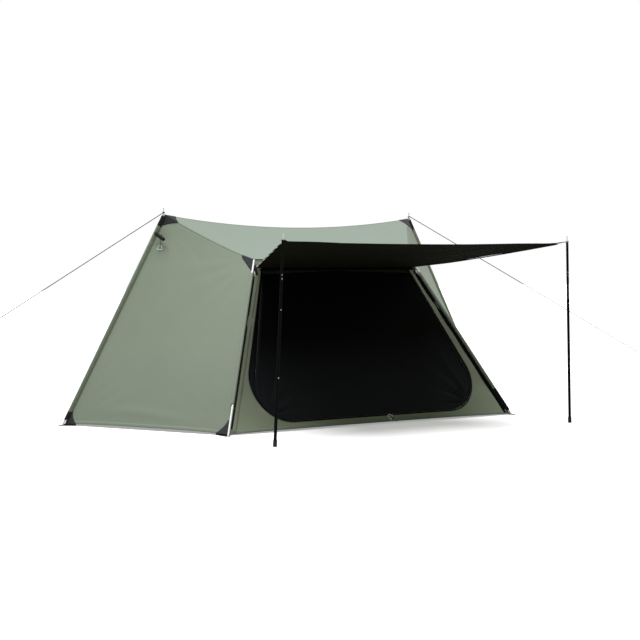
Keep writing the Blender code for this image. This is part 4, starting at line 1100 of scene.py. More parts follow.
def peak_point(side, turn, share, lift):
    """A point on the cap, at a share of the way out. turn runs 0 to 4 over front roof, front side, rear side and
    rear roof."""
    turn %= 4
    quarter = int(turn)
    reaches = (PEAK_PATCH_RIDGE, PEAK_PATCH_SEAM, PEAK_PATCH_POLE, PEAK_PATCH_SEAM, PEAK_PATCH_RIDGE)
    b = (turn - quarter) * reaches[quarter + 1] * share
    a = (1 - turn + quarter) * reaches[quarter] * share
    seam_way = (shoulder(side, 1) - peak(side)).length
    pole_way = (peak(side) - ground(side, 0)).length
    if quarter in (0, 3):
        panel = ROOF_PANELS[-1 if turn < 1 else 1]
        along, down = (a, b) if turn < 1 else (b, a)
        u, v = along / (2 * RIDGE_HALF), down / seam_way
        u = u if side < 0 else 1 - u
    else:
        panel = SIDE_PANELS[side, -1 if turn < 2 else 1]
        seam_part, pole_part = (a, b) if turn < 2 else (b, a)
        u, v = seam_part / seam_way, pole_part / pole_way
    return panel.at(u, v) + panel.out(max(u, 0.02) if u < 0.5 else min(u, 0.98), max(v, 0.02)) * lift


def cap_point(side, turn, share, lift):
    """The same point, with the two faces that meet on a seam brought together."""
    beside = [peak_point(side, turn + d, share, lift) for d in (-1e-5, 1e-5)]
    middle = (beside[0] + beside[1]) / 2
    if abs(turn - round(turn)) > 1e-6:
        return middle
    base = (peak_point(side, turn - 1e-5, share, 0) + peak_point(side, turn + 1e-5, share, 0)) / 2
    off = middle - base
    return base + off * (lift * lift / max(off.length_squared, 1e-12))


def peak_tip(side, lift):
    """Where the outer faces of the four panels at a peak, lifted alike, would meet."""
    flank, roof = SIDE_PANELS[side, -1].out(0, 0), ROOF_PANELS[-1].out(0 if side < 0 else 1, 0)
    x, z = Matrix(((flank.x, flank.z), (roof.x, roof.z))).inverted() @ Vector((lift, lift))
    return peak(side) + Vector((x, 0, z))


for side, hand in SIDES.items():
    around = [4 * k / PEAK_TURNS for k in range(PEAK_TURNS)]
    rows = [[peak_tip(side, PATCH_LIFT)] * PEAK_TURNS]
    for share in steps(10)[1:]:
        row = []
        for turn in around:
            bow = 1 - PEAK_PATCH_BOW * math.sin(math.pi * (turn % 1)) ** 2 * share
            row.append(cap_point(side, turn, share * bow, PATCH_LIFT))
        rows.append(row)
    cap = loft(f"peak_cap_{hand}", rows, WEBBING, PATCH, wrap=True, sharp=25)
    sewn(cap, f"peak_patch_{hand}")
print("peak caps reach", PEAK_PATCH_SEAM, "m down the roof seams")

# %% [markdown]
# Shoulder and ground patches
#
# A shoulder patch is a triangle that folds over the roof seam, with a short strip that runs on along the eave. A
# ground patch folds over the corner that the pole stands in and narrows up the pole with a hollow edge. Below
# the hem it turns out to a tongue with an eyelet for the peg.

# %% Corner patches
SHOULDER_PATCH = 0.110
SHOULDER_PATCH_ROOF = 0.018
EAVE_STRIP = 0.105
GROUND_PATCH_UP = 0.112
GROUND_PATCH_SIDE = 0.105
GROUND_PATCH_END = 0.012
TONGUE_LENGTH = 0.060
TONGUE_HALF = 0.017
TONGUE_STEP = 0.0005
TONGUE_LIFT = 0.0003
TONGUE_CURVE = 0.008
PEG_HOLE_RADIUS = 0.006
EYELET_RADIUS = 0.0011
EYELET_RISE = 0.0009
EYELET_SHARE = 1.16
EAVE_STRIP_RISE = 0.0016


def round_hole(centre, radius):
    """Flat points round a hole."""
    turns = (math.tau * k / 24 for k in range(24))
    return [centre + Vector((math.cos(a), math.sin(a))) * radius for a in turns]


def corner_patch(first, first_edge, second, second_edge, flips, up, widths, hollow):
    """at(u, v) for a patch over a fold: u runs across it and v along it, away from the corner."""
    length = (first.inside(first_edge, 1, 0) - first.inside(first_edge, 0, 0)).length

    def at(u, v):
        q = 2 * u - 1
        t = [1 - v * up / length if flip else v * up / length for flip in flips]
        narrow = 0.2 + 0.8 * (1 - v) ** hollow
        if abs(q) < 1e-6:
            return first.inside(first_edge, t[0], 0) + over_fold(
                first.inward(first_edge, t[0]), second.inward(second_edge, t[1]), PATCH_LIFT)
        if q < 0:
            return first.inside(first_edge, t[0], -q * widths[0] * narrow, PATCH_LIFT)
        return second.inside(second_edge, t[1], q * widths[1] * narrow, PATCH_LIFT)

    return at


def corner_out(side, end):
    """The level direction out of a ground corner, between the two walls that meet there."""
    if end == 0:
        return Vector((side, 0, 0))
    here, one, two = ground(side, end), ground(side, 0), ground(-side, end)
    return -((one - here).normalized() + (two - here).normalized()).normalized()


def shoulder_patch(side, end):
    """The triangle over the roof seam, and the strip along the eave."""
    place = f"{ENDS[end]}_{SIDES[side]}"
    roof_edge = 3 if side < 0 else 1
    at = corner_patch(SIDE_PANELS[side, end], 0, ROOF_PANELS[end], roof_edge, (True, side > 0), SHOULDER_PATCH,
                      (SHOULDER_PATCH, SHOULDER_PATCH_ROOF), 1.1)
    rows = [[at(u, v) for u in steps(12)] for v in steps(10)]
    sewn(loft(f"shoulder_cap_{place}", rows, WEBBING, PATCH, sharp=25), f"shoulder_patch_{place}")
    roof = ROOF_PANELS[end]
    reach = EAVE_STRIP / (2 * SHOULDER_HALF)
    rows = [[roof.inside(2, t, depth, PATCH_LIFT + EAVE_STRIP_RISE) for depth in (0.001, 0.008, 0.015)]
            for t in (share * reach if side > 0 else 1 - share * reach for share in steps(8))]
    sewn(loft(f"eave_strip_{place}", rows, TAPE_CLOTH, PATCH))


def ground_patch(side, end):
    """The patch over a ground corner, and its tongue with the eyelet."""
    place = f"{ENDS.get(end, 'side')}_{SIDES[side]}"
    if end == 0:
        panels = SIDE_PANELS[side, -1], 3, SIDE_PANELS[side, 1], 3
        at = corner_patch(*panels, (False, False), GROUND_PATCH_UP, (GROUND_PATCH_SIDE, GROUND_PATCH_SIDE), 1.6)
    else:
        panels = SIDE_PANELS[side, end], 1, WALL_PANELS[end], 3 if side < 0 else 1
        at = corner_patch(*panels, (True, side > 0), GROUND_PATCH_UP, (GROUND_PATCH_SIDE, GROUND_PATCH_END), 1.6)
    corner, out = ground(side, end), corner_out(side, end)
    lateral = UP.cross(out)
    lateral = -lateral if lateral.dot(at(1, 0) - at(0, 0)) < 0 else lateral
    level = TONGUE_LIFT + PATCH / 2
    across = steps(16)
    step = [Vector((*(at(u, 0) + out * TONGUE_STEP).xy, level)) for u in across]
    rows = [step, *([at(u, v) for u in across] for v in steps(12))]
    sewn(loft(f"ground_cap_{place}", rows, WEBBING, PATCH, sharp=30), f"ground_patch_{place}")
    flat_of = [Vector(((p - corner).dot(lateral), (p - corner).dot(out))) for p in step]
    tip = rounded(((flat_of[-1].x, flat_of[-1].y), (TONGUE_HALF, TONGUE_LENGTH), (-TONGUE_HALF, TONGUE_LENGTH),
                   (flat_of[0].x, flat_of[0].y)), (0, TONGUE_CURVE, TONGUE_CURVE, 0), 6)
    outer = [*flat_of, *tip[1:-1]]
    eye = Vector((0, TONGUE_LENGTH - 2 * PEG_HOLE_RADIUS))
    hole = round_hole(eye, PEG_HOLE_RADIUS)
    rings = between(hole, outer, eye, outer, 0.02, 3)
    rows = [[corner + lateral * p.x + out * p.y + UP * (level - corner.z) for p in ring] for ring in rings]
    sewn(loft(f"peg_tongue_{place}", rows, WEBBING, PATCH, wrap=True))
    ring = [corner + lateral * p.x + out * p.y + UP * (level + EYELET_RISE - corner.z)
            for p in (eye + (q - eye) * EYELET_SHARE for q in hole)]
    eyelet = tube(f"peg_eyelet_{place}", ring, EYELET_RADIUS, EYELET, sides=8, closed=True)
    sewn(eyelet, name="zinc_steel")


EYELET = new_finish("nickelled_brass_eyelet", Metallic=1.0, Roughness=0.32, Base_Color=linear("#C4C2BA"))[0]
for side in SIDES:
    for end in ENDS:
        shoulder_patch(side, end)
    for end in (-1, 0, 1):
        ground_patch(side, end)
print("patches", sum("_cap_" in o.name for o in bpy.data.objects))

# %% [markdown]
# Pole sleeves
#
# The poles run in sleeves on the seams. A sleeve is a strip of cloth laid over the pole and sewn down on both sides of
# the seam, so its section is a flat-footed arch. It isn't filled, so it wrinkles along its length where it is pulled.
# The corner sleeves leave the pole bare near the ground and below the shoulder, but for the right front one, which a
# black piece lengthens: painted shade, standing for that sleeve's lower part in the awning's shade. The side sleeves
# are full length, and their ends are black like the patches.

# %% Sleeves
POLE_RADIUS = 0.0075
SLEEVE_END = 0.015
CORNER_SLEEVE_FOOT = 0.235
SIDE_SLEEVE_FOOT = 0.030
POLE_CLEAR = FRAME_CLOTH / 2 + OVERLAY_LIFT + PATCH + GAP + POLE_RADIUS
CASING_LIFT = 0.0013
CASING = 0.001
CASING_STEP = 0.011
CASING_STAND = 0.0019
CASING_WRINKLE = 0.0009
ARCH_HALF_TURN = 105
ARCH_PARTS = 12
SIDE_FLAP = 0.017
CORNER_FLAPS = 0.016, 0.009
OVER_PATCH = PATCH_LIFT + PATCH / 2 + 0.0007
PATCH_LAPS = 0.012, 0.004
PAINTED_SHADE_FOOT = 0.03


def pole_axis(edges, clear):
    """The ends of a pole's axis outside a seam, foot first, and the direction away from the seam."""
    shares = (0.03, 0.25, 0.5, 0.75, 0.97)
    pairs = [[panel.inward(edge, t if upward else 1 - t) for panel, edge, upward, wide in edges] for t in shares]
    out = -(pairs[2][0] + pairs[2][1]).normalized()
    stand = max(clear / math.sin(inward.angle(-out)) for pair in pairs for inward in pair)
    panel, edge = edges[0][:2]
    ends = sorted((panel.inside(edge, t, 0) + out * stand for t in (0, 1)), key=lambda p: p.z)
    return ends[0], ends[1], out, stand


def casing(name, ends, edges, span, lift, finish):
    """A strip over a pole from one distance up it to another. edges: panel, seam, runs upward, width from it."""
    foot, head, out, stand = ends
    axis = (head - foot).normalized()
    side = axis.cross(out).normalized()
    face = side.cross(axis)
    rows = []
    for k in steps(max(4, int((span[1] - span[0]) / CASING_STEP))):
        along = span[0] + (span[1] - span[0]) * k
        share = along / (head - foot).length
        spot = foot + axis * along
        feet = [panel.inside(edge, share if upward else 1 - share, wide, lift) for panel, edge, upward, wide in edges]
        feet.sort(key=lambda p: (p - spot).dot(side))
        arch = []
        for j in range(ARCH_PARTS + 1):
            a = math.radians(ARCH_HALF_TURN - 2 * ARCH_HALF_TURN / ARCH_PARTS * j)
            fold = CASING_WRINKLE * noise.noise(Vector((4 * math.cos(a), 4 * math.sin(a), along * 30)))
            arch.append(spot + (face * math.cos(a) + side * math.sin(a)) * (POLE_RADIUS + CASING_STAND + fold))
        rows.append([feet[1], *arch, feet[0]])
    return sewn(loft(name, rows, finish, CASING, sharp=50), name="fly_cloth")


for side, hand in SIDES.items():
    edges = [(SIDE_PANELS[side, end], 3, True, SIDE_FLAP) for end in ENDS]
    ends = pole_axis(edges, POLE_CLEAR)
    length = (ends[1] - ends[0]).length
    cuts = (SIDE_SLEEVE_FOOT, GROUND_PATCH_UP - PATCH_LAPS[0], length - PEAK_PATCH_POLE - PATCH_LAPS[1],
            length - SLEEVE_END)
    middle = casing(f"side_sleeve_cloth_{hand}", ends, edges, cuts[1:3], CASING_LIFT, SAGE)
    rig.replaces(middle, f"side_sleeve_{hand}")
    casing(f"side_sleeve_foot_{hand}", ends, edges, cuts[:2], OVER_PATCH, WEBBING)
    casing(f"side_sleeve_head_{hand}", ends, edges, cuts[2:], OVER_PATCH, WEBBING)
    for end, name in ENDS.items():
        edges = [(SIDE_PANELS[side, end], 1, False, CORNER_FLAPS[0]),
                 (WALL_PANELS[end], 3 if side < 0 else 1, side < 0, CORNER_FLAPS[1])]
        ends = pole_axis(edges, POLE_CLEAR)
        span = CORNER_SLEEVE_FOOT, (ends[1] - ends[0]).length - SHOULDER_PATCH - SLEEVE_END
        piece = casing(f"corner_sleeve_cloth_{name}_{hand}", ends, edges, span, CASING_LIFT, SAGE)
        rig.replaces(piece, f"corner_sleeve_{name}_{hand}")
        # Painted shade: black cloth stands for the right front sleeve's lower part in the awning's shade.
        if end < 0 < side:
            casing(f"corner_sleeve_foot_{name}_{hand}", ends, edges, (PAINTED_SHADE_FOOT, span[0]), OVER_PATCH, TAPE_CLOTH)
print("corner pole stands", round(ends[3], 4), "m off its seam")

# %% [markdown]
# Metal, rubber and hard plastic
#
# The frame's rigid pieces keep their own shape and get a finish. Drawn aluminium shows fine streaks along its length,
# because the drawing die scratches it, and its highlight is broad. Its near-white colour is partly painted reflection:
# a pale diffuse share, lit by the lamps, stands for the bright studio that the metal mirrors, and the zinc plate is
# painted the same way. The awning poles are steel with a baked black coat: not a metal to the eye, but a dark skin
# with a soft highlight. Rubber has almost none. The two small rings are zinc plate painted nearly white as a painted
# reflection of the pale studio, and they are hardly metallic.


# %% Rigid finishes
ALONG_THE_DIE = 900, 900, 6
ALL_WAYS = 300, 300, 300


def streaked_metal(name, colour, roughness, metallic, scale):
    """Metal with fine streaks or grain. A metallic value below 1 leaves a pale diffuse share that the lamps light:
    painted reflection of the bright studio.
    """
    material, shader = new_finish(name, Metallic=metallic, Roughness=roughness)
    where = node(material, "ShaderNodeTexCoord")
    spread = node(material, "ShaderNodeMapping", {"Scale": scale}, {0: where.outputs["Object"]})
    grain = node(material, "ShaderNodeTexNoise", {"Scale": 1.0, "Detail": 2.0}, {0: spread.outputs[0]})
    rough = node(material, "ShaderNodeMapRange", {3: roughness - 0.06, 4: roughness + 0.1}, {0: grain.outputs[0]})
    shade = node(material, "ShaderNodeMath", {1: 0.16, 2: 0.9}, {0: grain.outputs[0]}, operation="MULTIPLY_ADD")
    tint = node(material, "ShaderNodeVectorMath", {0: linear(colour)[:3]}, {3: shade.outputs[0]}, operation="SCALE")
    material.node_tree.links.new(rough.outputs[0], shader.inputs["Roughness"])
    material.node_tree.links.new(tint.outputs[0], shader.inputs["Base Color"])
    return material


def grained_coat(name, colour, roughness, size, height, gloss=0.5):
    """A painted, moulded or rubber skin with a fine grain of that size and height."""
    material, shader = new_finish(name, Base_Color=linear(colour), Roughness=roughness, Specular_IOR_Level=gloss)
    where = node(material, "ShaderNodeTexCoord")
    grain = node(material, "ShaderNodeTexNoise", {"Scale": 1 / size, "Detail": 2.0}, {0: where.outputs["Object"]})
    bump = node(material, "ShaderNodeBump", {"Strength": 0.5, "Distance": height}, {"Height": grain.outputs[0]})
    material.node_tree.links.new(bump.outputs[0], shader.inputs["Normal"])
    return material


# Painted reflection: a near-white diffuse colour with the metallic value lowered, so poles, pins and fastenings look
# as bright as the studio they would mirror.
PALE_ALLOY_PAINTED_REFLECTION = streaked_metal("drawn_aluminium_painted_reflection", "#F1F2F3", 0.42, 0.35, ALONG_THE_DIE)
ZINC_PAINTED_REFLECTION = streaked_metal("zinc_plated_steel_painted_reflection", "#F2F3F4", 0.36, 0.5, ALL_WAYS)
POLE_COAT = grained_coat("baked_black_coat", "#030303", 0.6, 0.0012, 0.00006, gloss=0.08)
RUBBER = grained_coat("foot_rubber", "#1B1B1B", 0.8, 0.002, 0.0002)
NYLON = grained_coat("moulded_nylon", "#0E0E0F", 0.55, 0.0015, 0.0001)


def dress(finish, *nodes):
    """Gives a finish to frame nodes that keep their own shape."""
    for name in nodes:
        mesh = frame["nodes"][name].data
        mesh.materials.clear()
        mesh.materials.append(finish)
        mesh.shade_smooth()
        mesh.set_sharp_from_angle(angle=math.radians(35))


for hand in SIDES.values():
    dress(PALE_ALLOY_PAINTED_REFLECTION, f"side_pole_{hand}", f"corner_pole_front_{hand}", f"corner_pole_rear_{hand}")
    dress(ZINC_PAINTED_REFLECTION, f"peak_pin_{hand}", f"snap_button_{hand}", f"awning_slider_{hand}")
    dress(NYLON, f"door_slider_{hand}")
    dress(POLE_COAT, f"lower_tube_{hand}", f"upper_tube_{hand}")
    dress(RUBBER, f"awning_foot_{hand}")
# Painted reflection: the rings are white and hardly metallic, so they look like zinc mirroring the pale studio.
RING_PAINTED_REFLECTION = streaked_metal("ring_painted_reflection", "#FFFFFF", 0.3, 0.05, ALL_WAYS)
dress(RING_PAINTED_REFLECTION, "sill_ring", "toggle_ring")
print("finishes:", len(bpy.data.materials))

# %% [markdown]
# Mesh door
#
# The door is fine black insect mesh, zipped round its sides and foot and sewn along its head. Its holes are about
# 1 mm wide, a seventh of a pixel here, so it reads as a flat, deep, faintly blue black. The mesh isn't stretched:
# folds fan out of its two lower corners, where the zip gathers it, and it sags a little at the foot.


# %% Mesh door
MESH_SLACK = 0.004
MESH_FOLDS = {-1: 0.016, 1: 0.027}
MESH_FOLD_REACH = 0.22
MESH_FOLD_COUNT = 13
MESH_FOLD_INSET = 0.02
MESH_FOLD_UP = 0.05
MESH_FOLD_LEVEL = 0.12


def insect_mesh(name, colour, gleam, painted_floor_light, cell=0.0016):
    """Fine netting: a dark ground, threads a cell apart, and painted light from the floor on the threads, paler
    towards the foot.
    """
    material, shader = new_finish(name, Roughness=0.5, Specular_IOR_Level=0.05)
    weave = node(material, "ShaderNodeUVMap", uv_map="weave")
    place = node(material, "ShaderNodeSeparateXYZ", links={0: weave.outputs[0]})
    waves = []
    for axis in (0, 1):
        turn = node(material, "ShaderNodeMath", {1: math.pi / cell}, {0: place.outputs[axis]}, operation="MULTIPLY")
        sine = node(material, "ShaderNodeMath", links={0: turn.outputs[0]}, operation="SINE")
        waves.append(node(material, "ShaderNodeMath", links={0: sine.outputs[0]}, operation="ABSOLUTE"))
    thread = node(material, "ShaderNodeMath", links={0: waves[0].outputs[0], 1: waves[1].outputs[0]},
                  operation="MAXIMUM")
    share = node(material, "ShaderNodeMapRange", {1: 0.7, 2: 1.0}, {0: thread.outputs[0]})
    # Painted light: the threads grow paler towards the door's foot, as if lit from the floor.
    painted_light_share = node(material, "ShaderNodeMapRange", {1: 0.75, 2: 0.05, 3: 0.0, 4: 1.0}, {0: place.outputs[1]})
    threads = node(material, "ShaderNodeMix", {6: linear(gleam), 7: linear(painted_floor_light)}, {0: painted_light_share.outputs[0]},
                   data_type="RGBA")
    seen = node(material, "ShaderNodeMix", {6: linear(colour)}, {0: share.outputs[0], 7: threads.outputs[2]},
                data_type="RGBA")
    bump = node(material, "ShaderNodeBump", {"Strength": 0.3, "Distance": 0.0003}, {"Height": thread.outputs[0]})
    material.node_tree.links.new(seen.outputs[2], shader.inputs["Base Color"])
    material.node_tree.links.new(bump.outputs[0], shader.inputs["Normal"])
    return material


# The last colour is painted light from the floor on the lower threads.
MESH = insect_mesh("black_insect_mesh", "#010101", "#050505", "#2B2D30")
HINGE_UP = DOOR_TOP - FRAME_CLOTH / 2 - DOOR_CLEARANCE


def below(outline, height):
    """The doorway's outline with its two head corners slid along its sides to a height."""
    moved = [Vector((math.copysign(abs(p.x) + DOOR_SPREAD * (p.y - height), p.x), height)) for p in outline[-2:]]
    return [*outline[:-2], *moved]


def half_at(outline, up):
    """Half an outline's width at a height."""
    widest = 0.0
    for a, b in zip(outline, [*outline[1:], outline[0]]):
        if a.y != b.y and (a.y - up) * (b.y - up) <= 1e-12:
            widest = max(widest, abs(a.x + (b.x - a.x) * (up - a.y) / (b.y - a.y)))
    return widest


def mesh_lift(x, up, foot, half):
    """How far the slack mesh stands off the wall's plane."""
    inner = min(half - abs(x), up - foot, HINGE_UP - up)
    lift = MESH_SLACK * noise.noise(Vector((x * 2.5, up * 2.5, 3)))
    for side, height in MESH_FOLDS.items():
        wide = half_at(door_outline(), DOOR_SILL + MESH_FOLD_LEVEL)
        corner = Vector((side * (wide - MESH_FOLD_INSET), DOOR_SILL + MESH_FOLD_UP))
        ray = Vector((x, up)) - corner
        turn = math.atan2(ray.y, -side * ray.x)
        wave = math.cos(MESH_FOLD_COUNT * turn + 6 * ray.length + side)
        lift += height * math.exp(-ray.length / MESH_FOLD_REACH) * wave
    return lift * smooth_step(0.004, 0.08, inner)


outline = below(door_outline(-DOOR_CLEARANCE), HINGE_UP)
foot_up = DOOR_SILL + DOOR_CLEARANCE
arc = DOOR_FOOT_RADIUS * 0.8
heights = [foot_up + arc * (1 - math.cos(math.pi / 2 * k)) for k in steps(18)]
heights += [heights[-1] + (HINGE_UP - heights[-1]) * k for k in steps(44)[1:]]
rows = []
for up in heights:
    half = half_at(outline, up)
    row = [half * (2 * k - 1) for k in steps(72)]
    rows.append([on_wall(wall, Vector((x, up)), mesh_lift(x, up, foot_up, half)) for x in row])
door_cloth = loft("mesh_door_cloth", rows, MESH, CLOTH, weave=lambda p: wall.inverted() @ p)
sewn(door_cloth, "mesh_door", body="mesh_door", name="door_mesh")
SHEETS.append((door_cloth, (2 * half_at(outline, heights[18]), HINGE_UP - foot_up), area_of(rows)))

inner, outer = door_outline(), band_outline(BAND_TUCK)
rings = between(inner, outer, DOOR_MIDDLE, [*inner[-2:], *outer[-2:]], RING_SPACING, 3)
rows = [[on_wall(wall, p, lift) for p in ring] for ring, lift in zip(rings, (0, *[-BAND_DEPTH] * 3))]
band = loft("door_band", rows, MESH, CLOTH, wrap=True, weave=lambda p: wall.inverted() @ p)
sewn(band, name="door_mesh")
declare_border(band, rows)
print("mesh door", [round(s, 3) for s in SHEETS[-2][1]], "m, band", [round(s, 3) for s in SHEETS[-1][1]], "m")

# %% [markdown]
# Zips
#
# A tent zip is a nylon coil on a woven tape. Closed, the coil is a smooth ridge some 3 mm wide with a tooth every
# 1.5 mm or so, drawn twice as long to show. The door's zip goes down one side, round the foot and up the other. Two
# more tapes run down the wall's edges for the flap that now stands up as the awning, so those coils are open halves.


# %% Zips
def coil_finish(name, dark, pale, tooth):
    """A zip's coil: bands of pale turns with dark gaps, one band a tooth long."""
    material, shader = new_finish(name, Roughness=0.38)
    weave = node(material, "ShaderNodeUVMap", uv_map="weave")
    place = node(material, "ShaderNodeSeparateXYZ", links={0: weave.outputs[0]})
    beat = node(material, "ShaderNodeMath", {1: tooth / 2}, {0: place.outputs[1]}, operation="PINGPONG")
    share = node(material, "ShaderNodeMapRange", {1: tooth * 0.12, 2: tooth * 0.34}, {0: beat.outputs[0]})
    seen = node(material, "ShaderNodeMix", {6: linear(dark), 7: linear(pale)}, {0: share.outputs[0]},
                data_type="RGBA")
    bump = node(material, "ShaderNodeBump", {"Strength": 0.8, "Distance": 0.0005}, {"Height": share.outputs[0]})
    material.node_tree.links.new(seen.outputs[2], shader.inputs["Base Color"])
    material.node_tree.links.new(bump.outputs[0], shader.inputs["Normal"])
    return material


COIL = coil_finish("nylon_coil", "#040404", "#101111", 0.003)
TAPE_WIDTH = 0.009
TRACK_WIDTH = 0.014
TAPE = 0.0012
TRACK_INSET = 0.019
TRACK_FOOT = 0.040
TRACK_HEAD = 1.300
DOOR_SLIDER_REST = 0.470
AWNING_SLIDER_REST = 1.270
TAPE_LIFT = FRAME_CLOTH / 2 + GAP + TAPE / 2
COIL_LIFT = TAPE_LIFT + TAPE / 2 + 0.0012
COIL_SHARE = 0.42
DOOR_COIL_RADIUS = 0.0016
TRACK_COIL_RADIUS = 0.0015
TRACK_COIL_HEAD = 1.285
BAND_SEAM = 0.0008
BAND_SEAM_HALF = 0.003
PULL_MIDDLE = 0.019
PULL_HALF = 0.013
PULL_WAIST = 0.0032
PULL_LIFT = TAPE_LIFT + 0.0058
PULL_TILT = 0.0012
PULL_WIRE = 0.0009


def open_path(outline, top):
    """An outline's part below a height, from head right, down, round the foot and up to head left."""
    line = below(outline, top)
    return [line[-2], *reversed(line[:-2]), line[-1]]


def zip_path(grow, top):
    """The door zip's line."""
    return open_path(door_outline(grow), top)


def fine_line(points, spacing=0.03):
    """Points added to a line so that none is further than the spacing from the next."""
    out = []
    for a, b in zip(points, points[1:]):
        pieces = max(1, round((b - a).length / spacing))
        out += [a.lerp(b, k / pieces) for k in range(pieces)]
    return [*out, points[-1]]


lines = [zip_path(GAP + (TAPE_WIDTH - GAP) * share, DOOR_TOP) for share in (0, 0.5, 1)]
tape_rows = [[on_wall(wall, p, TAPE_LIFT) for p in points] for points in zip(*lines)]
sewn(loft("door_zip_tape", tape_rows, BLACK_CLOTH, TAPE), "door_zip")
band_rows = [[on_wall(wall, p, TAPE_LIFT + TAPE + GAP) for p in open_path(band_outline(grow), DOOR_TOP)]
             for grow in (-BAND_SEAM_HALF, 0, BAND_SEAM_HALF)]
sewn(loft("door_band_seam", band_rows, BLACK_CLOTH, BAND_SEAM))
bead = [on_wall(wall, p, COIL_LIFT) for p in fine_line(zip_path(TAPE_WIDTH * COIL_SHARE, DOOR_TOP))]
sewn(tube("door_zip_coil", bead, DOOR_COIL_RADIUS, COIL, sides=8), name="black_plastic")
for side, hand in SIDES.items():
    def track(up, off=0.0):
        return Vector((side * (wall_half(up) - TRACK_INSET + off), up))
    ups = [TRACK_FOOT + (TRACK_HEAD - TRACK_FOOT) * share for share in steps(40)]
    rows = [[on_wall(wall, track(up, off), TAPE_LIFT) for off in (-TRACK_WIDTH / 2, 0, TRACK_WIDTH / 2)] for up in ups]
    sewn(loft(f"awning_zip_tape_{hand}", rows, BLACK_CLOTH, TAPE), f"awning_zip_{hand}")
    bead = [on_wall(wall, track(up, 0.001), COIL_LIFT) for up in ups if up < TRACK_COIL_HEAD]
    sewn(tube(f"awning_zip_coil_{hand}", bead, TRACK_COIL_RADIUS, COIL, sides=8), name="black_plastic")
    door_x = DOOR_TOP_HALF + DOOR_SPREAD * (DOOR_TOP - DOOR_SLIDER_REST) + TAPE_WIDTH / 2
    spots = (("door", Vector((side * door_x, DOOR_SLIDER_REST)), DOOR_SPREAD),
             ("awning", track(AWNING_SLIDER_REST), WALL_TAPER))
    for kind, spot, taper in spots:
        down = -Vector((-side * taper, 1)).normalized()
        across = Vector((-down.y, down.x))
        loop = []
        for k in range(20):
            a = math.tau * k / 20
            place = spot + down * (PULL_MIDDLE - PULL_HALF * math.cos(a)) + across * (PULL_WAIST * math.sin(a))
            loop.append(on_wall(wall, place, PULL_LIFT + PULL_TILT * math.cos(a)))
        finish = NYLON if kind == "door" else ZINC_PAINTED_REFLECTION
        pull = tube(f"{kind}_zip_pull_{hand}", loop, PULL_WIRE, finish, sides=6, closed=True)
        sewn(pull, body=f"{hand}_{kind}_slider", name="zinc_steel")
print("zip tape round the door", round(sum((b - a).length for a, b in zip(lines[1], lines[1][1:])), 3), "m")

# %% [markdown]
# Flaps beside the zips
#
# A black header flap keeps rain off the door's head: it covers the wall from there up to the awning's seam. Down
# each side runs a narrow flap beside the zip. The left one is of the wall's cloth. The right one is black, and a
# black facing runs on the zip's other side. They lie flat, so that the sliders and the lowered awning pass them.

# %% Header and side flaps
FLAP_INSETS = {-1: (0.030, 0.045, 0.061), 1: (0.0265, 0.037, 0.048)}
FACING_INSETS = (0.004, 0.0075, 0.0115)
FLAP_LIFT = TAPE_LIFT + TAPE / 2
FLAP_FOOT = 0.012
FLAP_LENGTH = 1.243
FLAP_SWELL = 0.0015
FLAP_UNEVEN = 0.001
HEADER_INSET = 0.030
HEADER_DROP = 0.0664
HEADER_RISES = 0.0015, 0.012

rows = []
for up in (DOOR_TOP + HEADER_RISES[0], DOOR_TOP + HEADER_RISES[1], WALL_LENGTH - HEADER_DROP):
    half = wall_half(up) - HEADER_INSET
    rows.append([on_wall(wall, Vector((half * (2 * k - 1), up)), TAPE_LIFT) for k in steps(60)])
sewn(loft("door_header_flap", rows, BLACK_CLOTH, TAPE))
for side, hand in SIDES.items():
    rows = []
    for k in steps(60):
        up = FLAP_FOOT + FLAP_LENGTH * k
        swell = FLAP_SWELL * math.sin(math.pi * k) + ripple((side, up, 0), 0.12, FLAP_UNEVEN)
        rows.append([on_wall(wall, Vector((side * (wall_half(up) - inset), up)), FLAP_LIFT + swell * (number == 1))
                     for number, inset in enumerate(FLAP_INSETS[side])])
    # The left flap takes the front wall's shaded copy of the cloth, with its painted shade.
    sewn(loft(f"zip_flap_{hand}", rows, SHADED_WALL_SAGE if side < 0 else BLACK_CLOTH, TAPE), name="wall_cloth")
rows = [[on_wall(wall, Vector((wall_half(up) - inset, up)), TAPE_LIFT) for inset in FACING_INSETS]
        for up in (FLAP_FOOT + FLAP_LENGTH * k for k in steps(60))]
sewn(loft("zip_facing_right", rows, BLACK_CLOTH, TAPE))
print("flaps", sum("_flap" in o.name for o in bpy.data.objects))

# %% [markdown]
# Awning
#
# The raised door flap is the wall's own cover: sage cloth outside and a dark lining below. It hangs between its seam
# on the wall and two webbing tabs on the poles, so its outer edge sags and curves in, and folds run from the tabs into
# the cloth. From below it is in deep shade and nearly black. Its poles get the fastenings that show as bright dots: a
# rivet on the lower tube, rims round the two lock holes that are free, and the pin's bare steel, all in the zinc
# finish with its painted reflection.


# %% Awning cloth
LOWER_RADIUS = 0.011
UPPER_RADIUS = 0.0095
HINGE_DROP = 0.066
HINGE_TUCK = 0.0008
AWNING_HINGE_HALF = 0.735
AWNING_HALF = 1.263
AWNING_REACH = 1.940
AWNING_HEIGHT = 1.384
AWNING_SAG = 0.014
AWNING_EDGE_CURVE = 0.035
AWNING_SIDE_CURVES = {-1: 0.002, 1: 0.026}
AWNING_SIDE_DROPS = {-1: 0.0, 1: 0.012}
TAB_OVERLAP = 0.050
TAB_REACH = 0.042
TAB_HALF = 0.013
TAB = 0.002
TAB_HOLE_RADIUS = 0.0062
TAB_CURVE = 0.003
RIVET_HEIGHT = 0.463
RIVET_STAND = 0.0006
RIVET_DEPTH = 0.0014
RIVET_RADIUS = 0.0036
LOCK_HEIGHTS = 1.127, 1.154
LOCK_RADIUS = 0.0044
LOCK_RIM = 0.0008
LOCK_RIM_SINK = 0.00075
BARE_PIN = 0.004
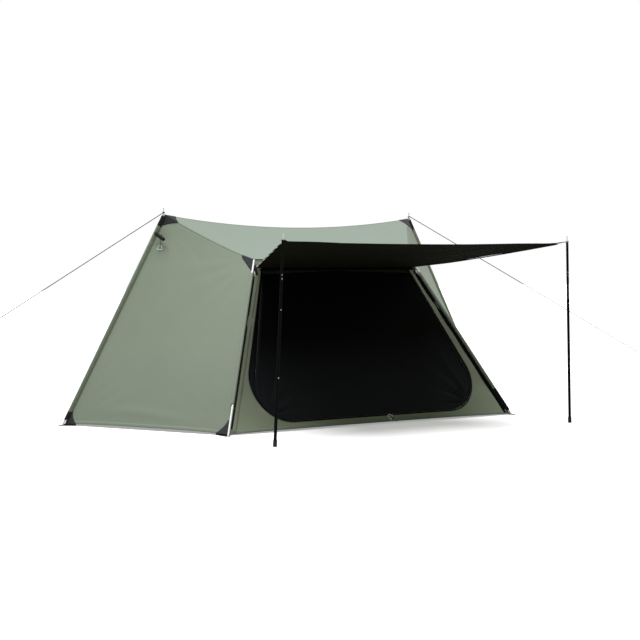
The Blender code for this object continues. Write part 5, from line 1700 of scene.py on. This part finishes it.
HINGE_STAND = FRAME_CLOTH / 2 + math.hypot(FRAME_CLOTH / 2, HINGE_TUCK) + GAP
AWNING_HINGE = wall_frame(-1, HINGE_STAND) @ Vector((0, WALL_LENGTH - HINGE_DROP, 0))


def awning_pin(side):
    """Where the pin of an awning pole stands."""
    return Vector((side * AWNING_HALF, RIDGE_Y - AWNING_REACH, AWNING_HEIGHT))


def awning_corner(side):
    """The cloth's corner, a tab's reach short of the pin."""
    pin = awning_pin(side)
    return pin + (Vector((0, AWNING_HINGE.y, AWNING_HINGE.z)) - pin).normalized() * TAB_REACH


def awning_panel():
    """The raised flap between its seam, its two sides and its outer edge, which sag and curve in."""
    tuck = (AWNING_HINGE - Vector((0, RIDGE_Y - AWNING_REACH, AWNING_HEIGHT))).normalized() * HINGE_TUCK
    hinge = [AWNING_HINGE + tuck + Vector((s * AWNING_HINGE_HALF, 0, 0)) for s in (-1, 1)]
    tips = [awning_corner(s) for s in (-1, 1)]

    def side(start, stop, way):
        pull = Vector((-way * AWNING_SIDE_CURVES[way], 0, -AWNING_SIDE_DROPS[way]))
        return lambda t: start.lerp(stop, t) + pull * (4 * t * (1 - t))

    def outer(t):
        bow = 4 * t * (1 - t)
        return tips[1].lerp(tips[0], t) + (Vector((0, 1, 0)) * AWNING_EDGE_CURVE - UP * AWNING_SAG) * bow

    return Panel(seam(*hinge), side(hinge[1], tips[1], 1), outer, side(tips[0], hinge[0], -1))


AWNING = awning_panel()

for side, hand in SIDES.items():
    button = [sum(c[k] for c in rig.box(f"snap_button_{hand}")) / 2 for k in range(3)]
    low = [sum(c[k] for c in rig.box(f"awning_foot_{hand}")) / 2 for k in range(3)]
    low, pin = Vector(low), awning_pin(side)
    low = low.lerp(pin, -low.z / (pin.z - low.z))
    off = Vector(button) - low.lerp(pin, button[2] / pin.z)
    off = Vector((off.x, off.y, 0)).normalized()
    along = (pin - low).normalized()
    off = (off - along * off.dot(along)).normalized()
    spot = low.lerp(pin, RIVET_HEIGHT / pin.z) + off * (LOWER_RADIUS + RIVET_STAND)
    rivet = tube(f"rivet_{hand}", [spot, spot + off * RIVET_DEPTH], RIVET_RADIUS, ZINC_PAINTED_REFLECTION, sides=16)
    sewn(rivet, body=f"{hand}_pole", name="zinc_steel")
    for height in LOCK_HEIGHTS:
        spot, ring = low.lerp(pin, height / pin.z), []
        for k in range(24):
            aside = LOCK_RADIUS * math.cos(math.tau * k / 24)
            ring.append(spot + off * math.sqrt((UPPER_RADIUS - LOCK_RIM_SINK) ** 2 - aside ** 2)
                        + along * (LOCK_RADIUS * math.sin(math.tau * k / 24)) + off.cross(along) * aside)
        rim = tube(f"lock_rim_{hand}_{round(height * 1000)}", ring, LOCK_RIM, ZINC_PAINTED_REFLECTION, sides=6, closed=True)
        sewn(rim, body=f"{hand}_upper_pole", name="zinc_steel")
    tube_node = frame["nodes"][f"upper_tube_{hand}"]
    tube_node.data.materials.append(ZINC_PAINTED_REFLECTION)
    for face in tube_node.data.polygons:
        face.material_index = int((tube_node.matrix_world @ face.center).z > pin.z + BARE_PIN)
LINING = woven_cloth("awning_lining", "#12130B", "#0E0F0B", 0.9, 0.0, gloss=0.02)
AWNING_FOLDS = 0.003, 0.006
AWNING_SLACK = 0.006
AWNING_HEM = 0.001
AWNING_HEM_STAND = 0.0016


def awning_lift(u, v):
    """Folds from the tabs and from the ends of the seam, and a slack ripple along the outer edge."""
    fade = smooth_step(0.02, 0.15, v)
    for k in (2, 3):
        fade *= smooth_step(0.05, 0.2, (AWNING.at(u, v) - AWNING.corners[k]).length)
    slack = AWNING_SLACK * math.sin(7 * u + 2) * math.sin(math.pi * u) * v * v
    return (pull_folds(AWNING, u, v, (0, 1), AWNING_FOLDS[0]) + pull_folds(AWNING, u, v, (2, 3), AWNING_FOLDS[1], 0.6)
            + ripple(AWNING.at(u, v), 0.4, AWNING_SLACK) + slack) * fade


def upward(piece):
    """Turns a piece's faces up, so that its first finish is on top."""
    if piece.data.polygons[0].normal.z < 0:
        piece.data.flip_normals()
    return piece


grid = [[AWNING.at(u, v) + AWNING.out(u, v) * awning_lift(u, v) for u in steps(96)] for v in steps(56)]
awning = upward(loft("awning_cloth", grid, (SAGE, LINING), CLOTH, weave=flat_on(AWNING)))
awning.modifiers[0].material_offset = 1
awning.modifiers[0].material_offset_rim = 1
sewn(awning, "awning", body="awning", name="awning_cloth")
wide = distances([AWNING.at(u, 1) for u in steps(30)])[-1]
long = distances([AWNING.at(0, v) for v in steps(30)])[-1]
SHEETS.append((awning, (wide, long), area_of(grid)))
hem_rows = [[AWNING.inside(2, t, depth, -AWNING_HEM_STAND) for depth in (0.0005, 0.008, 0.016, 0.024)]
            for t in steps(70)]
sewn(loft("awning_outer_hem", hem_rows, LINING, AWNING_HEM), body="awning", name="awning_cloth")
binding = [[AWNING.inside(0, t, depth, AWNING_HEM_STAND) for depth in (0.004, 0.012, 0.02)] for t in steps(40)]
sewn(loft("awning_seam_binding", binding, LINING, AWNING_HEM), body="awning", name="awning_cloth")
print("awning", round(wide, 3), "by", round(long, 3), "m")

# %% [markdown]
# The awning's edges and tabs
#
# Down each side of the awning runs the other half of the side zips: black tape with its coil on the edge. The left
# tape is loose and waves in scallops, because its sewing thread draws it up, and its coil has one painted highlight in
# each scallop, a pale band where the light would catch it. So that coil's bands are drawn a scallop long, and not a
# tooth. At each outer corner a tab of doubled webbing has a grommet, and the pole's pin stands in it.

# %% Awning edges and tabs
SCALLOP_COUNT = 7
SCALLOP_LENGTH = 0.21
EDGE_SPAN = 0.015, 0.970
EDGE_TAPE = 0.0009
EDGE_TAPE_OUT = 0.015
EDGE_TAPE_DROP = 0.005
SCALLOP_OUT = 0.014
SCALLOP_DROP = 0.010
EDGE_DEPTH = 0.006
EDGE_STAND = 0.0018
HINGE_TAPE_SHARE = 0.35
# Painted highlights: one pale band a scallop long on the left coil.
PAINTED_GLINT_COIL = coil_finish("open_coil_painted_glints", "#0A0B0B", "#DADCD9", SCALLOP_LENGTH)
EDGE_COILS = {-1: (0.0030, PAINTED_GLINT_COIL), 1: (0.0017, COIL)}
GROMMET_RADIUS = 0.0011
GROMMET_RISE = 0.0005
GROMMET_SHARE = 1.3


def tab_frame(side):
    """The middle plane of a tab: origin on the cloth's corner, X towards the pin, Z up."""
    pin, corner = awning_pin(side), awning_corner(side)
    z = AWNING.out(0 if side < 0 else 1, 0.97)
    x = (pin - corner).normalized()
    x = (x - z * x.dot(z)).normalized()
    made = Matrix((x, z.cross(x), z)).transposed().to_4x4()
    made.translation = corner
    return made @ Matrix.Translation((0, 0, FRAME_CLOTH / 2 + OVERLAY_LIFT / 2 + TAB / 2))


for side, hand in SIDES.items():
    edge_number, outward = (3, Vector((-1, 0, 0))) if side < 0 else (1, Vector((1, 0, 0)))
    rows, bead = [], []
    for k in steps(150):
        along = EDGE_SPAN[0] + (EDGE_SPAN[1] - EDGE_SPAN[0]) * k
        loose_share = math.sin(math.pi * k) ** 0.5 if side < 0 else 0.0
        t = along if side > 0 else 1 - along
        base = AWNING.inside(edge_number, t, 0)
        wave = math.sin(math.tau * k * SCALLOP_COUNT) * loose_share
        free = smooth_step(0.02, 0.30, along)
        spread = (EDGE_TAPE_OUT + SCALLOP_OUT * wave) * (HINGE_TAPE_SHARE + (1 - HINGE_TAPE_SHARE) * free)
        out = outward * spread - UP * (EDGE_TAPE_DROP + SCALLOP_DROP * wave) * free
        rows.append([AWNING.inside(edge_number, t, EDGE_DEPTH, -EDGE_STAND), base - UP * EDGE_STAND,
                     base + out * 0.5, base + out])
        bead.append(base + out + outward * 0.001)
    sewn(loft(f"awning_edge_tape_{hand}", rows, BLACK_CLOTH, EDGE_TAPE), body="awning")
    radius, finish = EDGE_COILS[side]
    sewn(tube(f"awning_edge_coil_{hand}", bead, radius, finish, sides=6), body="awning", name="black_plastic")
    tab = tab_frame(side)
    outer = rounded(((-TAB_OVERLAP, -TAB_HALF), (TAB_REACH + TAB_HALF, -TAB_HALF), (TAB_REACH + TAB_HALF, TAB_HALF),
                     (-TAB_OVERLAP, TAB_HALF)), (TAB_CURVE, TAB_HALF - 0.001, TAB_HALF - 0.001, TAB_CURVE), 6)
    eye = Vector((TAB_REACH, 0))
    hole = round_hole(eye, TAB_HOLE_RADIUS)
    rings = between(hole, outer, eye, outer, 0.01, 3)
    rows = [[on_wall(tab, p) for p in ring] for ring in rings]
    sewn(loft(f"corner_tab_{hand}", rows, BLACK_CLOTH, TAB, wrap=True), f"awning_tab_{hand}", body="awning")
    for face, number in ((1, "top"), (-1, "under")):
        ring = [on_wall(tab, eye + (q - eye) * GROMMET_SHARE, face * (TAB / 2 + GROMMET_RISE)) for q in hole]
        grommet = tube(f"tab_grommet_{number}_{hand}", ring, GROMMET_RADIUS, EYELET, sides=8, closed=True)
        sewn(grommet, body="awning", name="zinc_steel")
print("tab from", [round(c, 3) for c in awning_corner(-1)], "to the pin at", [round(c, 3) for c in awning_pin(-1)])

# %% [markdown]
# Small straps and cords
#
# Three small things catch the eye: a toggle on a cord below the left peak, a strap and ring on the sill that hold
# the rolled door, and the short straps at the wall's upper corners that cover the zips' ends.

# %% Toggle, sill strap and corner straps
TOGGLE_DOWN = 0.150
TOGGLE_IN = 0.048
TOGGLE_LENGTH = 0.105
TOGGLE_RADIUS = 0.015
TOGGLE_WAY = 0.82, 0.57
TOGGLE_LIFT = 0.044
TOGGLE_CORD = 0.092
TOGGLE_SPOT = 0.036
TOGGLE_WRAP = 0.009
TOGGLE_SLOPE = 0.016
CORD_RISE = 0.004
CORD_TAIL = 0.008
CORD_RADIUS = 0.0018
RING_WIRE = 0.002

panel = SIDE_PANELS[-1, -1]
pole_way = (peak(-1) - ground(-1, 0)).length
top = 1 - TOGGLE_DOWN / pole_way
normal = (panel.inside(3, top, TOGGLE_IN, 1) - panel.inside(3, top, TOGGLE_IN)).normalized()
fall = (normal * normal.z - UP).normalized()
square = panel.inward(3, top)
along = (panel.inside(3, top + 0.01, 0) - panel.inside(3, top - 0.01, 0)).normalized()


def hang(distance, lift):
    """A point down the cloth from the cord's knot, lifted off it."""
    return panel.inside(3, top + distance * fall.dot(along) / pole_way, TOGGLE_IN + distance * fall.dot(square), lift)


low = FRAME_CLOTH / 2 + OVERLAY_LIFT + CORD_RADIUS
bend = RING_WIRE + GAP + CORD_RADIUS
wrap = [(TOGGLE_CORD + bend * math.sin(a), low + bend * (1 - math.cos(a)))
        for a in (math.pi * k / 8 for k in range(9))]
near, far = TOGGLE_SPOT - TOGGLE_WRAP, TOGGLE_SPOT + TOGGLE_WRAP
route = [hang(d, h) for d, h in (
    (0, low), (near - TOGGLE_SLOPE, low + CORD_RISE), (near, TOGGLE_LIFT), (far, TOGGLE_LIFT),
    (far + TOGGLE_SLOPE, low + CORD_RISE), (TOGGLE_CORD - TOGGLE_SLOPE, low), *wrap,
    (TOGGLE_CORD - CORD_TAIL, low + 2 * bend))]
TOGGLE_BRAID = braided_cord("toggle_cord_braid", "#1F2021", "#2C2D2E", 0.003, 0.02)
toggle_cord = tube("toggle_cord", route, CORD_RADIUS, TOGGLE_BRAID)
way = (normal.cross(fall) * TOGGLE_WAY[0] + fall * TOGGLE_WAY[1]).normalized()
DULL_NYLON = grained_coat("dull_nylon", "#040404", 0.85, 0.0015, 0.0001)
middle = hang(TOGGLE_SPOT, TOGGLE_LIFT)
rod = [middle + way * (TOGGLE_LENGTH * (share - 0.5)) for share in steps(24)]
toggle = tube("toggle_rod", rod, lambda t: TOGGLE_RADIUS * (1 - abs(2 * t - 1) ** 14 * 0.6), DULL_NYLON, sides=20)
sewn(toggle_cord, body="toggle", name="black_plastic")
sewn(toggle, "tie_toggle", body="toggle", name="black_plastic")
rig.cord(toggle_cord, exit=route[0], length=distances(route)[-1], diameter=2 * CORD_RADIUS, far_end="fitting",
        stiffness="limp", lay="hanging", path=route, with_pieces=[toggle])

STRAP = 0.0012
STRAP_FOOT = Vector((0.178, 0.008, 0))
STRAP_TOP = Vector((0.142, 0.037, 0))
STRAP_HALF = 0.006
STRAP_TAIL = 0.014
CORNER_STRAP_HEAD = 1.335
CORNER_STRAP_LENGTH = 0.085
CORNER_STRAP_INSET = 0.016
CORNER_STRAP_TURN = 0.030
CORNER_STRAP_HALF = 0.010
CORNER_STRAP_LIFT = TAPE_LIFT + 0.0035
CORNER_STRAP_SWELL = 0.003
sill = wall_frame(-1, FRAME_CLOTH / 2 + GAP + STRAP / 2)
way = (STRAP_TOP - STRAP_FOOT).normalized()
side_way = Vector((way.y, -way.x, 0))
length = (STRAP_TOP - STRAP_FOOT).length
bend = RING_WIRE + GAP + STRAP / 2
loop = [(length + bend * math.sin(a), bend * (1 - math.cos(a))) for a in (math.pi * k / 12 for k in range(13))]
profile = [(0, 0), (length * 0.5, 0), *loop, (length - STRAP_TAIL, 2 * bend)]
rows = [[sill @ (STRAP_FOOT + way * run + side_way * q * STRAP_HALF + Vector((0, 0, rise)))
         for q in (-1, -0.5, 0.5, 1)] for run, rise in profile]
sewn(loft("sill_webbing", rows, WEBBING, STRAP, sharp=60), "sill_strap")

for side, hand in SIDES.items():
    line, rows = [], []
    for k in steps(10):
        up = CORNER_STRAP_HEAD - CORNER_STRAP_LENGTH * k
        line.append(Vector((side * (wall_half(up) - CORNER_STRAP_INSET - CORNER_STRAP_TURN * k * k), up)))
    for k, (share, p) in enumerate(zip(steps(10), line)):
        ahead, behind = line[min(k + 1, 10)], line[max(k - 1, 0)]
        square_way = (ahead - behind).normalized().orthogonal()
        lift = CORNER_STRAP_LIFT + CORNER_STRAP_SWELL * math.sin(math.pi * share)
        rows.append([on_wall(wall, p + square_way * off, lift) for off in (-CORNER_STRAP_HALF, 0, CORNER_STRAP_HALF)])
    sewn(loft(f"corner_strap_{hand}", rows, TAPE_CLOTH, STRAP))
print("toggle cord is", round(distances(route)[-1], 3), "m long")

# %% [markdown]
# Sheets as cut
#
# Every free sheet is declared with the width and length of its flat cut, how it is held, and its flat area where the
# cut isn't a rectangle.

for piece, flat_size, area in SHEETS:
    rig.sheet(piece, flat=flat_size, held="stretched", area=min(area, flat_size[0] * flat_size[1]))
    print(f"{piece.name}: {flat_size[0]:.3f} by {flat_size[1]:.3f} m, {area:.3f} m2")

# %% [markdown]
# Floor and light
#
# A product studio has a pale sweep and large soft lamps. The key is one very wide lamp overhead, leant a little to
# the back, so the roof is brightest, the side panel is next and the front wall, under its awning, is in shade. The
# world gives an even fill, and shows as white only where the camera looks straight at it. The sweep looks white too,
# but throws back only three fifths of the light, as a large studio floor does beside its dark room.

# %% Floor and lamps
FLOOR_HALF = 40
PAPER_GLOW = 0.35
FILL_COLOUR = (0.86, 0.92, 0.76, 1.0)
FILL_STRENGTH = 0.30
KEY_COLOUR = (0.95, 0.94, 1.0)
KEY_STRENGTH = 4.7
KEY_WIDTH = 50
KEY_WAY = Vector((-0.10, 0.12, 0.985))
WHITE = (1, 1, 1, 1)

floor_mesh = bmesh.new()
bmesh.ops.create_grid(floor_mesh, x_segments=1, y_segments=1, size=FLOOR_HALF)
mesh = bpy.data.meshes.new("studio_floor")
floor_mesh.to_mesh(mesh)
floor_mesh.free()
floor = bpy.data.objects.new("studio_floor", mesh)
bpy.context.scene.collection.objects.link(floor)
FLOOR = grained_coat("pale_studio_floor", "#CDCDCB", 0.9, 0.05, 0.0002)
paper = node(FLOOR, "ShaderNodeBsdfDiffuse", {0: linear("#F7F7F5")})
seen_by = node(FLOOR, "ShaderNodeLightPath")
glow = node(FLOOR, "ShaderNodeEmission", {0: WHITE, 1: PAPER_GLOW})
lit = node(FLOOR, "ShaderNodeAddShader", links={0: paper.outputs[0], 1: glow.outputs[0]})
both = node(FLOOR, "ShaderNodeMixShader", links={0: seen_by.outputs["Is Camera Ray"],
                                                 1: FLOOR.node_tree.nodes["Principled BSDF"].outputs[0],
                                                 2: lit.outputs[0]})
FLOOR.node_tree.links.new(both.outputs[0], FLOOR.node_tree.nodes["Material Output"].inputs["Surface"])
mesh.materials.append(FLOOR)
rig.stage(floor)

world = bpy.data.worlds.new("studio")
world.use_nodes = True
bpy.context.scene.world = world
fill = world.node_tree.nodes["Background"]
fill.inputs["Color"].default_value = FILL_COLOUR
fill.inputs["Strength"].default_value = FILL_STRENGTH
white = node(world, "ShaderNodeBackground", {"Color": WHITE})
rays = node(world, "ShaderNodeLightPath")
choice = node(world, "ShaderNodeMixShader",
              links={0: rays.outputs["Is Camera Ray"], 1: fill.outputs[0], 2: white.outputs[0]})
world.node_tree.links.new(choice.outputs[0], world.node_tree.nodes["World Output"].inputs["Surface"])

light = bpy.data.lights.new("overhead_key", "SUN")
light.energy = KEY_STRENGTH
light.angle = math.radians(KEY_WIDTH)
light.color = KEY_COLOUR
key = bpy.data.objects.new("overhead_key", light)
key.rotation_euler = KEY_WAY.to_track_quat("Z", "Y").to_euler()
bpy.context.scene.collection.objects.link(key)
bpy.context.scene.view_settings.view_transform = "Standard"
bpy.context.scene.view_settings.look = "None"

# %% [markdown]
# Sizes and finish
#
# The dressed tent must fill the same box as the frame. Both boxes are written down, and the last line prints the
# scene's box.

# %% Write the sizes and finish
scene_box = [list(corner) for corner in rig.bounds()]
with open("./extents.json", "w") as size_file:
    json.dump({"cad": CAD_BOX, "scene": scene_box}, size_file)
print("scene box", [[round(c, 3) for c in corner] for corner in scene_box])
